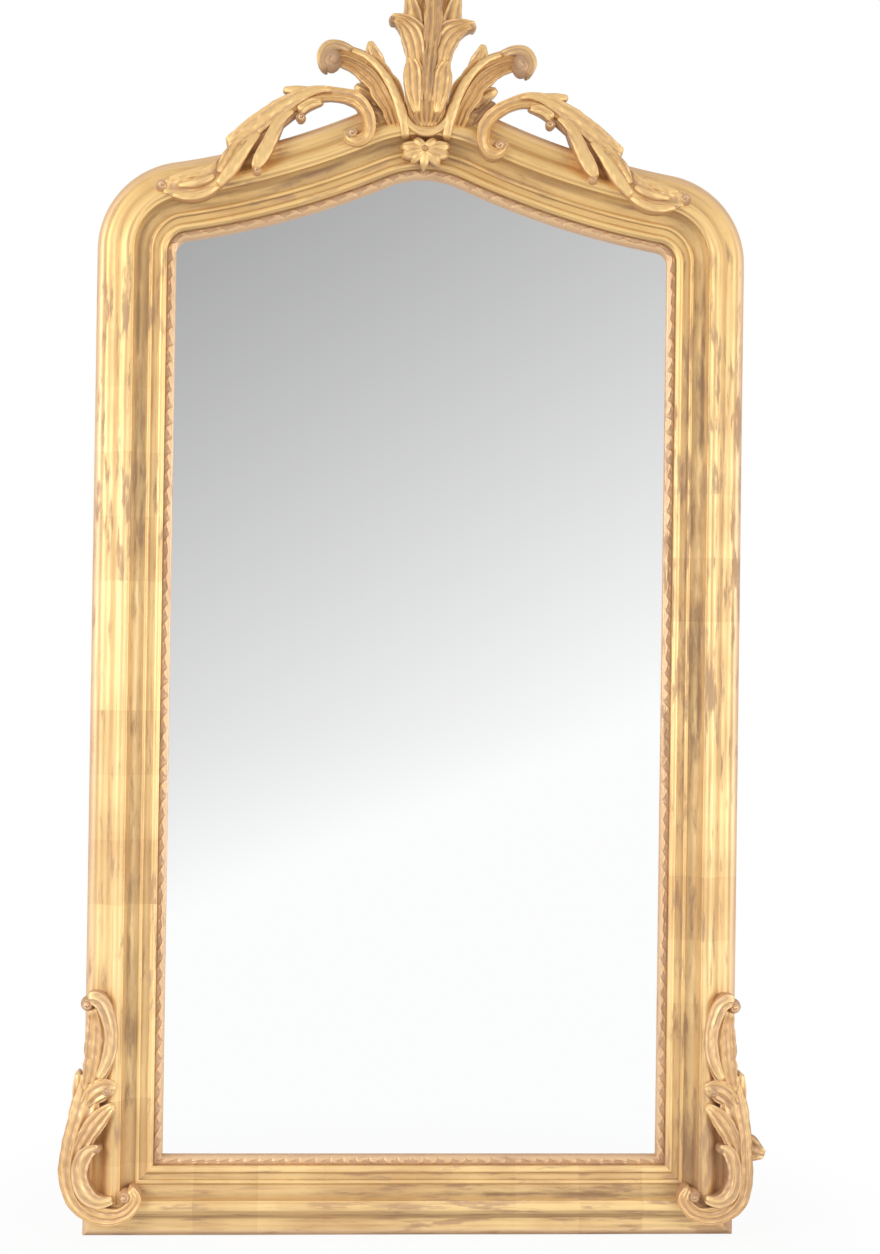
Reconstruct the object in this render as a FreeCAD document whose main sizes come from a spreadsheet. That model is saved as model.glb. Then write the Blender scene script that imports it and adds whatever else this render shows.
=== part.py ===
import FreeCAD, Part
import math
import os
import Sketcher

# A tall gilt wall mirror: a flat softwood frame that carries planted mouldings,
# carved ornament, a silvered plate, back boards and two swinging hanging rings.
# Millimetres. X is to the viewer's right, Z is up, the wall is the plane Y = 0
# and the front looks along -Y, so a depth d from the wall is Y = -d.

V = FreeCAD.Vector
doc = FreeCAD.newDocument("wall_mirror")
dims = doc.addObject("Spreadsheet::Sheet", "dims")

DRIVING = {
    # outline of the frame, seen from the front
    "frame_half": 406, "section_width": 96, "moulding_width": 86,
    "shoulder_height": 1222.7, "shoulder_radius": 16.4, "shoulder_slope": 9.65,
    "crown_radius": 111.7, "crown_slope": 23.75,
    # softwood frame behind the mouldings, half lapped at its corners
    "carcass_thick": 18, "lap_thick": 9, "glass_rebate": 82, "board_rebate": 70,
    "lap_length": 81, "peg_radius": 5, "peg_near": 18, "peg_far": 52,
    # front moulding, from the outer edge to the sight edge
    "edge_across": 0, "edge_depth": 32, "roll_across": 9.5, "roll_depth": 43.5, "roll_radius": 12,
    "dip_across": 14, "dip_depth": 42, "bead_radius": 5, "bead_across": 23, "bead_depth": 43.5,
    "quirk_across": 24.5, "quirk_depth": 42.5, "torus_across": 26.8, "torus_depth": 47,
    "torus_radius": 10.1, "fillet_across": 44.6, "fillet_depth": 54,
    "cove_across": 47.4, "cove_depth": 52.5, "cove_radius": 15.6, "hollow_across": 62.6,
    "hollow_depth": 37, "ribbon_across": 63.5, "ribbon_radius": 3.3, "channel_across": 69.4,
    "channel_depth": 35, "sight_across": 77.4, "sight_depth": 37, "sight_radius": 4.3, "sight_end": 85,
    # carved slip that frames the plate
    "slip_outer_depth": 29, "slip_inner_depth": 23, "slip_radius": 9,
    # plate, blocks, back boards and nails
    "plate_thick": 4, "plate_edge": 87, "block_length": 40, "block_width": 8,
    "board_back": 1, "board_edge": 71, "board_height": 250, "board_gap": 1,
    "nail_radius": 0.9, "nail_length": 15, "nail_head_radius": 2.2, "nail_head": 0.7, "nail_inset": 30,
    # hanging rings, each in a shallow recess behind a stile
    "hanger_height": 1090, "hanger_across": 35, "recess_depth": 8, "recess_width": 42,
    "recess_above": 37, "recess_below": 63, "strap_width": 20, "strap_thick": 2.4,
    "strap_length": 56, "loop_radius": 3.3, "loop_bore": 2.12, "wire_radius": 2,
    "ring_bow": 17, "ring_arm": 12, "ring_corner": 4, "ring_tilt": 4,
    "screw_near": 16, "screw_far": 46, "screw_radius": 1.75, "screw_hole": 2,
    "screw_head_radius": 3.5, "screw_head": 2.2, "screw_length": 10.5,
    # iron bar and wooden block behind the crest
    "bar_width": 22, "bar_thick": 3, "bar_foot": 1356, "bar_top": 1490, "crest_block_top": 1515,
    "crest_block_foot_half": 20, "crest_block_top_half": 14, "crest_screw_length": 12,
}
for row, (alias, value) in enumerate(DRIVING.items(), start=1):
    dims.set(f"A{row}", alias.replace("_", " "))
    dims.set(f"B{row}", str(value))
    dims.setAlias(f"B{row}", alias)
doc.recompute()
size = {alias: float(dims.get(alias)) for alias in DRIVING}

# The sight line is built from tangent arcs: a tight shoulder, a long hollow sweep
# and a round crown on the centre line. Any other edge is an offset of it.
SHOULDER = math.radians(size["shoulder_slope"])
CROWN = math.radians(size["crown_slope"])
sight_half = size["frame_half"] - size["section_width"]
shoulder_centre = V(sight_half - size["shoulder_radius"], 0, size["shoulder_height"])
shoulder_normal = V(math.sin(SHOULDER), 0, math.cos(SHOULDER))
crown_normal = V(math.sin(CROWN), 0, math.cos(CROWN))
shoulder_end = shoulder_centre + shoulder_normal * size["shoulder_radius"]
sweep_radius = ((shoulder_end.x - size["crown_radius"] * crown_normal.x)
                / (crown_normal.x - shoulder_normal.x))
sweep_centre = shoulder_end + shoulder_normal * sweep_radius
crown_foot = sweep_centre - crown_normal * sweep_radius
crown_centre = V(0, 0, crown_foot.z - size["crown_radius"] * crown_normal.z)
SWEEP = ("(dims.frame_half - dims.section_width - dims.shoulder_radius"
         " + dims.shoulder_radius * sin(dims.shoulder_slope) - dims.crown_radius * sin(dims.crown_slope))"
         " / (sin(dims.crown_slope) - sin(dims.shoulder_slope))")


def box(name, x, y, z, lengths):
    """Block of wood or metal, its corner and its three lengths bound to the sheet."""
    solid = doc.addObject("Part::Box", name)
    for prop, text in zip(("Length", "Width", "Height"), lengths):
        solid.setExpression(prop, text)
    for axis, text in zip("xyz", (x, y, z)):
        solid.setExpression(f"Placement.Base.{axis}", text)
    return solid


def rod(name, at, direction, radius, length):
    """Round bar along a direction, its radius and length bound to the sheet."""
    solid = doc.addObject("Part::Cylinder", name)
    solid.setExpression("Radius", radius)
    solid.setExpression("Height", length)
    solid.Placement = FreeCAD.Placement(at, FreeCAD.Rotation(V(0, 0, 1), direction))
    return solid


def joined(name, solids):
    """One solid from several that meet."""
    union = doc.addObject("Part::MultiFuse", name)
    union.Shapes = solids
    union.Refine = True
    return union


def group(name, solids):
    """Several separate solids kept as one node."""
    bundle = doc.addObject("Part::Compound", name)
    bundle.Links = solids
    return bundle


def minus(name, base, tool):
    """A solid with another one taken out of it."""
    cut = doc.addObject("Part::Cut", name)
    cut.Base = base
    cut.Tool = tool
    return cut


def mirrored(name, source):
    """The left-hand twin of a right-hand piece."""
    twin = doc.addObject("Part::Mirroring", name)
    twin.Source = source
    twin.Base = V(0, 0, 0)
    twin.Normal = V(1, 0, 0)
    return twin


def plane_of(body, role):
    """One of a body's own origin planes."""
    return next(item for item in body.Origin.OriginFeatures if item.Role == role)


def sketch_on(body, name, role, offset):
    """Empty sketch on an origin plane of its body, shifted by a placement."""
    sketch = body.newObject("Sketcher::SketchObject", name)
    sketch.AttachmentSupport = (plane_of(body, role), [""])
    sketch.MapMode = "FlatFace"
    sketch.AttachmentOffset = offset
    return sketch


# Corners of the moulding section: distance across from the outer edge, depth from the
# wall, and the radius of the arc that leaves the corner, negative for a hollow.
MOULDING = [
    ("edge_across", "carcass_thick", None, 0), ("edge_across", "edge_depth", "roll_radius", 1),
    ("roll_across", "roll_depth", None, 0), ("dip_across", "dip_depth", "bead_radius", 1),
    ("bead_across", "bead_depth", None, 0), ("quirk_across", "quirk_depth", None, 0),
    ("torus_across", "quirk_depth", None, 0), ("torus_across", "torus_depth", "torus_radius", 1),
    ("fillet_across", "fillet_depth", None, 0), ("cove_across", "fillet_depth", None, 0),
    ("cove_across", "cove_depth", "cove_radius", -1), ("hollow_across", "hollow_depth", None, 0),
    ("ribbon_across", "hollow_depth", "ribbon_radius", 1), ("channel_across", "hollow_depth", None, 0),
    ("channel_across", "channel_depth", None, 0), ("sight_across", "channel_depth", None, 0),
    ("sight_across", "sight_depth", "sight_radius", 1), ("sight_end", "sight_depth", None, 0),
    ("moulding_width", "sight_depth", None, 0), ("moulding_width", "carcass_thick", None, 0),
]
SLIP = [
    ("moulding_width", "carcass_thick", None, 0), ("moulding_width", "slip_outer_depth", "slip_radius", 1),
    ("section_width", "slip_inner_depth", None, 0), ("section_width", "carcass_thick", None, 0),
]


def section_sketch(body, name, role, offset, corners, start, start_value, sense, upright=False):
    """Moulding section with every corner and radius bound to the sheet.

    A corner lies at start plus or minus its distance across, and at minus its depth.
    Upright puts the distance across on the sketch's vertical axis."""
    sketch = sketch_on(body, name, role, offset)
    sign = "+" if sense > 0 else "-"
    across = [start_value + sense * size[corner[0]] for corner in corners]
    depth = [size[corner[1]] for corner in corners]
    points = [V(-d, a, 0) if upright else V(a, -d, 0) for a, d in zip(across, depth)]
    ends = []
    for index, (_, _, radius, bulge) in enumerate(corners):
        first = points[index]
        last = points[(index + 1) % len(points)]
        if radius is None:
            number = sketch.addGeometry(Part.LineSegment(first, last))
        else:
            half = (last - first).Length / 2
            sagitta = size[radius] - math.sqrt(size[radius] ** 2 - half ** 2)
            out = V(-bulge, 0, 0) if upright else V(0, -bulge, 0)
            along = (last - first).normalize()
            side = (out - along * out.dot(along)).normalize()
            arc = Part.Arc(first, (first + last) * 0.5 + side * sagitta, last)
            number = sketch.addGeometry(arc)
            held = sketch.addConstraint(Sketcher.Constraint("Radius", number, size[radius]))
            sketch.setExpression(f"Constraints[{held}]", f"dims.{radius}")
        forward = sketch.getPoint(number, 1).distanceToPoint(first) < 1e-6
        ends.append((1, 2) if forward else (2, 1))
    for index, (a_name, d_name, _, _) in enumerate(corners):
        begin = ends[index][0]
        before = index - 1 if index else len(corners) - 1
        sketch.addConstraint(Sketcher.Constraint("Coincident", before, ends[before][1], index, begin))
        deep, wide = ("DistanceX", "DistanceY") if upright else ("DistanceY", "DistanceX")
        held = sketch.addConstraint(Sketcher.Constraint(deep, index, begin, -1, 1, depth[index]))
        sketch.setExpression(f"Constraints[{held}]", f"dims.{d_name}")
        held = sketch.addConstraint(Sketcher.Constraint(wide, -1, 1, index, begin, across[index]))
        sketch.setExpression(f"Constraints[{held}]", f"{start} {sign} dims.{a_name}")
    return sketch


def turned(body, name, corners, centre, start_angle, sense, start, start_value, angle):
    """Section swept about an axis through an arc's centre, square to the wall."""
    offset = FreeCAD.Placement(centre, FreeCAD.Rotation(V(0, 1, 0), -start_angle))
    sketch = section_sketch(body, name + "_section", "XY_Plane", offset, corners, start, start_value, sense)
    sweep = body.newObject("PartDesign::Revolution", name)
    sweep.Profile = sketch
    sweep.ReferenceAxis = (sketch, ["V_Axis"])
    sweep.setExpression("Angle", angle)
    return sweep


def shoulder_turn(body, name, corners):
    """Quarter-turn of a section round the frame's shoulder."""
    return turned(body, name, corners, shoulder_centre, 90 - size["shoulder_slope"], -1,
                  "dims.shoulder_radius + dims.section_width",
                  size["shoulder_radius"] + size["section_width"], "90 - dims.shoulder_slope")


def arch_turn(body, name, corners):
    """Long hollow sweep and half of the crown, in one length of moulding."""
    turned(body, name + "_sweep", corners, sweep_centre, 270 - size["shoulder_slope"], 1,
           f"{SWEEP} - dims.section_width", sweep_radius - size["section_width"],
           "dims.crown_slope - dims.shoulder_slope")
    return turned(body, name + "_crown", corners, crown_centre, 90, -1,
                  "dims.crown_radius + dims.section_width",
                  size["crown_radius"] + size["section_width"], "dims.crown_slope")


def stile_length(name, corners):
    """Upright length of a section, mitred at the foot."""
    body = doc.addObject("PartDesign::Body", name)
    sketch = section_sketch(body, name + "_section", "XY_Plane", FreeCAD.Placement(), corners,
                            "dims.frame_half", size["frame_half"], -1)
    pad = body.newObject("PartDesign::Pad", name + "_length")
    pad.Profile = sketch
    pad.setExpression("Length", "dims.shoulder_height")
    mitre = body.newObject("PartDesign::SubtractiveBox", name + "_mitre")
    for prop in ("Length", "Width", "Height"):
        mitre.setExpression(prop, "dims.section_width * 2")
    mitre.Placement = FreeCAD.Placement(V(size["frame_half"], -size["section_width"], 0),
                                        FreeCAD.Rotation(V(0, 1, 0), -135))
    return body


def rail_length(name, corners):
    """Level length of a section along the foot of the frame, mitred at both ends."""
    body = doc.addObject("PartDesign::Body", name)
    offset = FreeCAD.Placement(V(0, 0, -size["frame_half"]), FreeCAD.Rotation())
    sketch = section_sketch(body, name + "_section", "YZ_Plane", offset, corners, "0", 0, 1, True)
    pad = body.newObject("PartDesign::Pad", name + "_length")
    pad.Profile = sketch
    pad.setExpression("Length", "2 * dims.frame_half")
    reach = size["section_width"] * 1.5
    for end, corner, tilt in (("right", V(size["frame_half"] - reach, 0, reach), 45),
                              ("left", V(-size["frame_half"] - reach, 0, -reach), -45)):
        mitre = body.newObject("PartDesign::SubtractiveBox", f"{name}_mitre_{end}")
        mitre.setExpression("Length", "dims.section_width * 4.5")
        mitre.setExpression("Width", "dims.section_width * 2")
        mitre.setExpression("Height", "dims.section_width * 2")
        mitre.Placement = FreeCAD.Placement(corner - V(0, size["section_width"], 0),
                                            FreeCAD.Rotation(V(0, 1, 0), tilt))
    return body


def offset_path(offset, foot):
    """Line set outside the sight line, from the right foot over the crown to the left foot."""
    half = sight_half + offset
    circles = [(shoulder_centre, size["shoulder_radius"] + offset, 90, size["shoulder_slope"]),
               (sweep_centre, offset - sweep_radius, size["shoulder_slope"], size["crown_slope"]),
               (crown_centre, size["crown_radius"] + offset, size["crown_slope"], -size["crown_slope"])]
    edges = []
    for centre, radius, first, last in circles:
        angles = [math.radians(first + (last - first) * part) for part in (0, 0.5, 1)]
        edges.append([V(centre.x + radius * math.sin(a), centre.z + radius * math.cos(a), 0) for a in angles])
    if foot < size["shoulder_height"]:
        edges.insert(0, [V(half, foot, 0), edges[0][0]])
    twin = [[V(-p.x, p.y, 0) for p in reversed(edge)] for edge in reversed(edges[:-1])]
    return edges + twin


def closed(path):
    """Path from foot to foot with a straight line across the foot."""
    return path + [[path[-1][-1], path[0][0]]]


def band(outer, inner):
    """Ring-shaped board between two paths, with straight ends."""
    back = [list(reversed(edge)) for edge in reversed(inner)]
    return outer + [[outer[-1][-1], back[0][0]]] + back + [[back[-1][-1], outer[0][0]]]


def board_layer(body, name, edges, depth, thickness):
    """Flat layer of a given outline, from a depth off the wall towards the front."""
    sketch = sketch_on(body, name + "_outline", "XZ_Plane", FreeCAD.Placement())
    sketch.setExpression("AttachmentOffset.Base.z", depth)
    for edge in edges:
        curve = Part.LineSegment(*edge) if len(edge) == 2 else Part.Arc(*edge)
        number = sketch.addGeometry(curve)
        sketch.addConstraint(Sketcher.Constraint("Block", number))
    pad = body.newObject("PartDesign::Pad", name)
    pad.Profile = sketch
    pad.setExpression("Length", thickness)
    return pad


pieces = []


def keep(item):
    """Mark a document object as one node of the part."""
    pieces.append(item)
    return item


# Softwood frame: stiles, foot rail and shaped top board, half lapped and pegged.
FRONT = "dims.frame_half - dims.glass_rebate"
BACK = "dims.frame_half - dims.board_rebate"
pegs = []
lap_foot = size["shoulder_height"] - size["lap_length"]
for side in (1, -1):
    for across, up in (("peg_near", size["peg_far"]), ("peg_far", size["peg_near"]),
                       ("peg_near", lap_foot + size["peg_far"]), ("peg_far", lap_foot + size["peg_near"])):
        spot = V(side * (size["frame_half"] - size[across]), 0, up)
        pegs.append(rod(f"peg_{len(pegs)}", spot, V(0, -1, 0), "dims.peg_radius", "dims.carcass_thick"))
lap_pegs = keep(group("lap_pegs", pegs))

stile_front = box("stile_front", FRONT, "-dims.carcass_thick", "dims.glass_rebate",
                  ("dims.glass_rebate", "dims.carcass_thick - dims.lap_thick",
                   "dims.shoulder_height - dims.glass_rebate"))
stile_back = box("stile_back", BACK, "-dims.lap_thick", "0 mm",
                 ("dims.board_rebate", "dims.lap_thick", "dims.shoulder_height - dims.lap_length"))
recess = box("hanger_recess", "dims.frame_half - dims.hanger_across - dims.recess_width / 2", "-dims.recess_depth",
             "dims.hanger_height - dims.recess_below",
             ("dims.recess_width", "dims.recess_depth", "dims.recess_below + dims.recess_above"))
stile_blank = joined("stile_blank", [stile_front, stile_back])
stile_recessed = minus("stile_recessed", stile_blank, recess)
carcass_right = keep(minus("carcass_stile_right", stile_recessed, lap_pegs))
carcass_left = keep(mirrored("carcass_stile_left", carcass_right))

rail_front = box("rail_front", "-dims.frame_half", "-dims.carcass_thick", "0 mm",
                 ("2 * dims.frame_half", "dims.carcass_thick - dims.lap_thick", "dims.glass_rebate"))
rail_back = box("rail_back", "dims.board_rebate - dims.frame_half", "-dims.lap_thick", "0 mm",
                ("2 * (dims.frame_half - dims.board_rebate)", "dims.lap_thick", "dims.board_rebate"))
rail_blank = joined("rail_blank", [rail_front, rail_back])
carcass_rail = keep(minus("carcass_bottom_rail", rail_blank, lap_pegs))

outer_offset = size["section_width"]
glass_offset = size["section_width"] - size["glass_rebate"]
board_offset = size["section_width"] - size["board_rebate"]
top_body = doc.addObject("PartDesign::Body", "top_board_blank")
board_layer(top_body, "top_board_rear", band(offset_path(outer_offset, lap_foot), offset_path(board_offset, lap_foot)),
            "0 mm", "dims.lap_thick")
board_layer(top_body, "top_board_fore",
            band(offset_path(outer_offset, size["shoulder_height"]),
                 offset_path(glass_offset, size["shoulder_height"])),
            "dims.lap_thick", "dims.carcass_thick - dims.lap_thick")
bar_slot = box("bar_slot", "-dims.bar_width / 2", "-dims.bar_thick", "dims.bar_foot",
               ("dims.bar_width", "dims.bar_thick", "dims.bar_top - dims.bar_foot"))
top_cutter = doc.addObject("Part::MultiFuse", "top_board_cutter")
top_cutter.Shapes = [bar_slot] + pegs
carcass_top = keep(minus("carcass_top_board", top_body, top_cutter))

# Front mouldings, planted on the frame: mitred at the foot, butted at the shoulders.
moulding_right = keep(stile_length("moulding_stile_right", MOULDING))
moulding_left = keep(mirrored("moulding_stile_left", moulding_right))
moulding_foot = keep(rail_length("moulding_bottom", MOULDING))
shoulder_right = keep(doc.addObject("PartDesign::Body", "moulding_shoulder_right"))
shoulder_turn(shoulder_right, "shoulder_moulding", MOULDING)
shoulder_left = keep(mirrored("moulding_shoulder_left", shoulder_right))
arch_right = keep(doc.addObject("PartDesign::Body", "moulding_arch_right"))
arch_turn(arch_right, "arch_moulding", MOULDING)
arch_left = keep(mirrored("moulding_arch_left", arch_right))

# Carved slips round the sight edge; they hold the plate from the front.
slip_right = keep(stile_length("slip_stile_right", SLIP))
slip_left = keep(mirrored("slip_stile_left", slip_right))
slip_foot = keep(rail_length("slip_bottom", SLIP))
slip_top_right = keep(doc.addObject("PartDesign::Body", "slip_top_right"))
shoulder_turn(slip_top_right, "slip_shoulder", SLIP)
arch_turn(slip_top_right, "slip_arch", SLIP)
slip_top_left = keep(mirrored("slip_top_left", slip_top_right))

# Silvered plate, cut to the arch and lying against the backs of the slips.
plate_offset = size["section_width"] - size["plate_edge"]
plate = keep(doc.addObject("PartDesign::Body", "mirror_plate"))
board_layer(plate, "plate_glass", closed(offset_path(plate_offset, size["plate_edge"])),
            "dims.carcass_thick - dims.plate_thick", "dims.plate_thick")

# Glue blocks between the back of the plate and the back boards.
blocks = []


def glue_block(x, z, slope):
    """Softwood block against the rebate, its length along the rebate wall."""
    block = doc.addObject("Part::Box", f"block_{len(blocks)}")
    block.setExpression("Length", "dims.block_length")
    block.setExpression("Width", "dims.carcass_thick - dims.plate_thick - dims.lap_thick")
    block.setExpression("Height", "dims.block_width")
    turn = FreeCAD.Rotation(V(0, 1, 0), slope)
    shift = turn.multVec(V(-size["block_length"] / 2, 0, -size["block_width"]))
    depth = size["carcass_thick"] - size["plate_thick"]
    block.Placement = FreeCAD.Placement(V(x, -depth, z) + shift, turn)
    blocks.append(block)


for side in (1, -1):
    for step in range(5):
        glue_block(side * (size["frame_half"] - size["glass_rebate"]), 220 + 225 * step, 90 * side)
    for angle in (12, 19):
        tilt = math.radians(angle)
        reach = sweep_radius - glass_offset + 0.6
        glue_block(side * (sweep_centre.x - reach * math.sin(tilt)), sweep_centre.z - reach * math.cos(tilt),
                   side * angle)
for x in (-210, -70, 70, 210):
    glue_block(x, size["glass_rebate"], 180)
keep(group("glass_blocks", blocks))

# Back boards: plain planks laid level in the rebate, the top one cut to the arch.
boards = []
board_half = "dims.frame_half - dims.board_edge"
board_thick = "dims.lap_thick - dims.board_back"
for step in range(4):
    foot = f"dims.board_edge + {step} * (dims.board_height + dims.board_gap)"
    boards.append(keep(box(f"back_board_{step + 1}", f"-({board_half})", "-dims.lap_thick", foot,
                           (f"2 * ({board_half})", board_thick, "dims.board_height"))))
top_foot = size["board_edge"] + 4 * (size["board_height"] + size["board_gap"])
top_plank = keep(doc.addObject("PartDesign::Body", "back_board_5"))
board_layer(top_plank, "top_plank", closed(offset_path(size["section_width"] - size["board_edge"], top_foot)),
            "dims.board_back", board_thick)

# Cut nails through the boards into the ledge of the rebate.
nails = []


def nail(x, z):
    """Nail with a flat head on the back of a board."""
    seat = V(x, -size["board_back"], z)
    number = len(nails)
    shank = rod(f"nail_shank_{number}", seat, V(0, -1, 0), "dims.nail_radius", "dims.nail_length")
    head = rod(f"nail_head_{number}", seat, V(0, 1, 0), "dims.nail_head_radius", "dims.nail_head")
    nails.append(joined(f"nail_{number}", [shank, head]))


ledge = size["frame_half"] - (size["glass_rebate"] + size["board_rebate"]) / 2
for step in range(5):
    foot = size["board_edge"] + step * (size["board_height"] + size["board_gap"])
    head = min(foot + size["board_height"] - size["nail_inset"], size["shoulder_height"] - size["nail_inset"])
    for x in (ledge, -ledge):
        nail(x, foot + size["nail_inset"])
        nail(x, head)
for x in (-200, 0, 200):
    nail(x, (size["glass_rebate"] + size["board_rebate"]) / 2)
for side in (1, -1):
    for angle in (11, 17, 22):
        tilt = math.radians(angle)
        reach = sweep_radius - (glass_offset + board_offset) / 2
        nail(side * (sweep_centre.x - reach * math.sin(tilt)), sweep_centre.z - reach * math.cos(tilt))
keep(group("board_nails", nails))

# Hanging rings: a folded strap screwed in the recess, its loop round the ring's bar.
hanger_x = size["frame_half"] - size["hanger_across"]
axis_depth = size["recess_depth"] - size["loop_radius"]
axis_point = V(hanger_x, -axis_depth, size["hanger_height"])
strap_end = axis_point - V(size["strap_width"] / 2, 0, 0)
strap_face = size["recess_depth"] - size["strap_thick"]
loop = rod("strap_loop", strap_end, V(1, 0, 0), "dims.loop_radius", "dims.strap_width")
tail = box("strap_tail", "dims.frame_half - dims.hanger_across - dims.strap_width / 2", "-dims.recess_depth",
           "dims.hanger_height - dims.strap_length",
           ("dims.strap_width", "dims.strap_thick", "dims.strap_length"))
bore = rod("strap_bore", strap_end - V(1, 0, 0), V(1, 0, 0), "dims.loop_bore", "dims.strap_width + 2")
screw_spots = [V(hanger_x, -strap_face, size["hanger_height"] - size[key]) for key in ("screw_near", "screw_far")]
holes = [rod(f"strap_hole_{number}", spot + V(0, 1, 0), V(0, -1, 0), "dims.screw_hole", "dims.strap_thick + 2")
         for number, spot in enumerate(screw_spots)]
strap_cutter = doc.addObject("Part::MultiFuse", "strap_cutter")
strap_cutter.Shapes = [bore] + holes
strap_right = keep(minus("hanger_strap_right", joined("strap_blank", [loop, tail]), strap_cutter))
strap_left = keep(mirrored("hanger_strap_left", strap_right))

screws = []
for side in (1, -1):
    for spot in screw_spots:
        seat = V(side * spot.x, spot.y, spot.z)
        number = len(screws)
        shank = rod(f"screw_shank_{number}", seat, V(0, -1, 0), "dims.screw_radius", "dims.screw_length")
        head = rod(f"screw_head_{number}", seat, V(0, 1, 0), "dims.screw_head_radius", "dims.screw_head")
        screws.append(joined(f"screw_{number}", [shank, head]))
keep(group("hanger_screws", screws))

# The ring is one length of round wire bent to a D; it hangs down over its strap.
bow = size["ring_bow"]
arm = size["ring_arm"]
corner = size["ring_corner"]
bend = corner * (1 - math.sqrt(0.5))
wire_path = Part.Wire([
    Part.makeLine(V(corner - bow, 0, 0), V(bow - corner, 0, 0)),
    Part.Arc(V(bow - corner, 0, 0), V(bow - bend, 0, -bend), V(bow, 0, -corner)).toShape(),
    Part.makeLine(V(bow, 0, -corner), V(bow, 0, -arm)),
    Part.Arc(V(bow, 0, -arm), V(0, 0, -arm - bow), V(-bow, 0, -arm)).toShape(),
    Part.makeLine(V(-bow, 0, -arm), V(-bow, 0, -corner)),
    Part.Arc(V(-bow, 0, -corner), V(bend - bow, 0, -bend), V(corner - bow, 0, 0)).toShape(),
])
wire_section = Part.Wire([Part.makeCircle(size["wire_radius"], V(0, 0, 0), V(1, 0, 0))])
wire_section.translate(V(corner - bow, 0, 0))
ring_right = keep(doc.addObject("Part::Feature", "hanger_ring_right"))
ring_right.Shape = wire_path.makePipeShell([wire_section], True, False)
ring_right.Placement = FreeCAD.Placement(axis_point, FreeCAD.Rotation(V(1, 0, 0), size["ring_tilt"]))
ring_left = keep(mirrored("hanger_ring_left", ring_right))

# Iron bar let into the back of the top board; it carries the block behind the crest.
bar_screws = []
for number, height in enumerate((1368, 1404, 1438, 1474)):
    seat = V(0, 0, height)
    shank = rod(f"bar_screw_shank_{number}", seat, V(0, -1, 0), "dims.screw_radius", "dims.crest_screw_length")
    head = doc.addObject("Part::Cone", f"bar_screw_head_{number}")
    head.setExpression("Radius1", "dims.screw_head_radius")
    head.setExpression("Radius2", "dims.screw_radius")
    head.setExpression("Height", "dims.screw_head")
    head.Placement = FreeCAD.Placement(seat, FreeCAD.Rotation(V(0, 0, 1), V(0, -1, 0)))
    bar_screws.append(joined(f"bar_screw_{number}", [shank, head]))
bar_screw_group = keep(group("crest_bar_screws", bar_screws))
keep(minus("crest_bar", bar_slot, bar_screw_group))

crest_block = keep(doc.addObject("PartDesign::Body", "crest_block"))
crest_foot = size["crown_radius"] + outer_offset
foot_half = size["crest_block_foot_half"]
foot_rise = math.sqrt(crest_foot ** 2 - foot_half ** 2)
foot_right = V(foot_half, crown_centre.z + foot_rise, 0)
foot_left = V(-foot_half, crown_centre.z + foot_rise, 0)
head_right = V(size["crest_block_top_half"], size["crest_block_top"], 0)
head_left = V(-size["crest_block_top_half"], size["crest_block_top"], 0)
block_edges = [[foot_left, V(0, crown_centre.z + crest_foot, 0), foot_right], [foot_right, head_right],
               [head_right, head_left], [head_left, foot_left]]
board_layer(crest_block, "crest_block_wood", block_edges, "dims.bar_thick",
            "dims.carcass_thick - dims.bar_thick")
doc.recompute()


def strand(stations):
    """Carved strand: a rounded rib with a flat back, lofted along a smooth line.

    A station is x, z, half width, depth of the back and depth of the crest."""
    line = Part.BSplineCurve()
    line.interpolate([V(station[0], 0, station[1]) for station in stations])
    sections = []
    for x, z, half, back, crest in stations:
        place = line.parameter(V(x, 0, z))
        along = line.tangent(place)[0]
        side = V(along.z, 0, -along.x) * half
        middle = V(x, 0, z)
        dome = min(0.9 * half, 0.6 * (crest - back))
        low = V(0, -back, 0)
        spring = V(0, dome - crest, 0)
        right = middle + side
        left = middle - side
        sections.append(Part.Wire([
            Part.makeLine(right + low, right + spring),
            Part.Arc(right + spring, middle + V(0, -crest, 0), left + spring).toShape(),
            Part.makeLine(left + spring, left + low),
            Part.makeLine(left + low, right + low),
        ]))
    return Part.makeLoft(sections, True)


def carved(name, strands, seats):
    """Ornament from several strands, fitted over the pieces it sits on."""
    solids = [strand(stations) for stations in strands]
    shape = solids[0].multiFuse(solids[1:]) if len(solids) > 1 else solids[0]
    shape = shape.cut([seat.Shape for seat in seats])
    feature = doc.addObject("Part::Feature", name)
    feature.Shape = max(shape.Solids, key=lambda solid: solid.Volume)
    return keep(feature)


FRAME_TOP = [carcass_top, arch_right, arch_left, shoulder_right, slip_top_right, slip_top_left]
FRAME_FOOT = [carcass_right, carcass_rail, moulding_right, moulding_foot]

# Crest plume: a stem of folded leaves whose lobes turn out at the top.
plume = carved("crest_plume", [
    [(0, 1367, 8, 18, 64), (1, 1392, 12, 18, 70), (2, 1430, 12, 18, 70), (4, 1462, 11, 18, 62),
     (5, 1500, 14, 18, 58), (7, 1540, 13, 18, 52), (8, 1570, 8, 20, 44), (8, 1588, 3, 24, 34)],
    [(-8, 1372, 5, 18, 60), (-18, 1396, 9, 18, 66), (-21, 1430, 12, 18, 62), (-14, 1460, 10, 18, 56),
     (-20, 1486, 11, 18, 52), (-33, 1508, 8, 20, 46), (-46, 1516, 2, 26, 38)],
    [(9, 1372, 5, 18, 60), (19, 1396, 9, 18, 66), (23, 1430, 12, 18, 62), (20, 1460, 10, 18, 56),
     (29, 1486, 11, 18, 52), (46, 1505, 8, 20, 46), (61, 1513, 2, 26, 38)],
    [(-4, 1478, 8, 18, 54), (-12, 1515, 9, 18, 50), (-21, 1548, 2, 24, 38)],
    [(13, 1478, 8, 18, 54), (22, 1515, 9, 18, 50), (34, 1549, 2, 24, 38)],
], FRAME_TOP + [crest_block])

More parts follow.
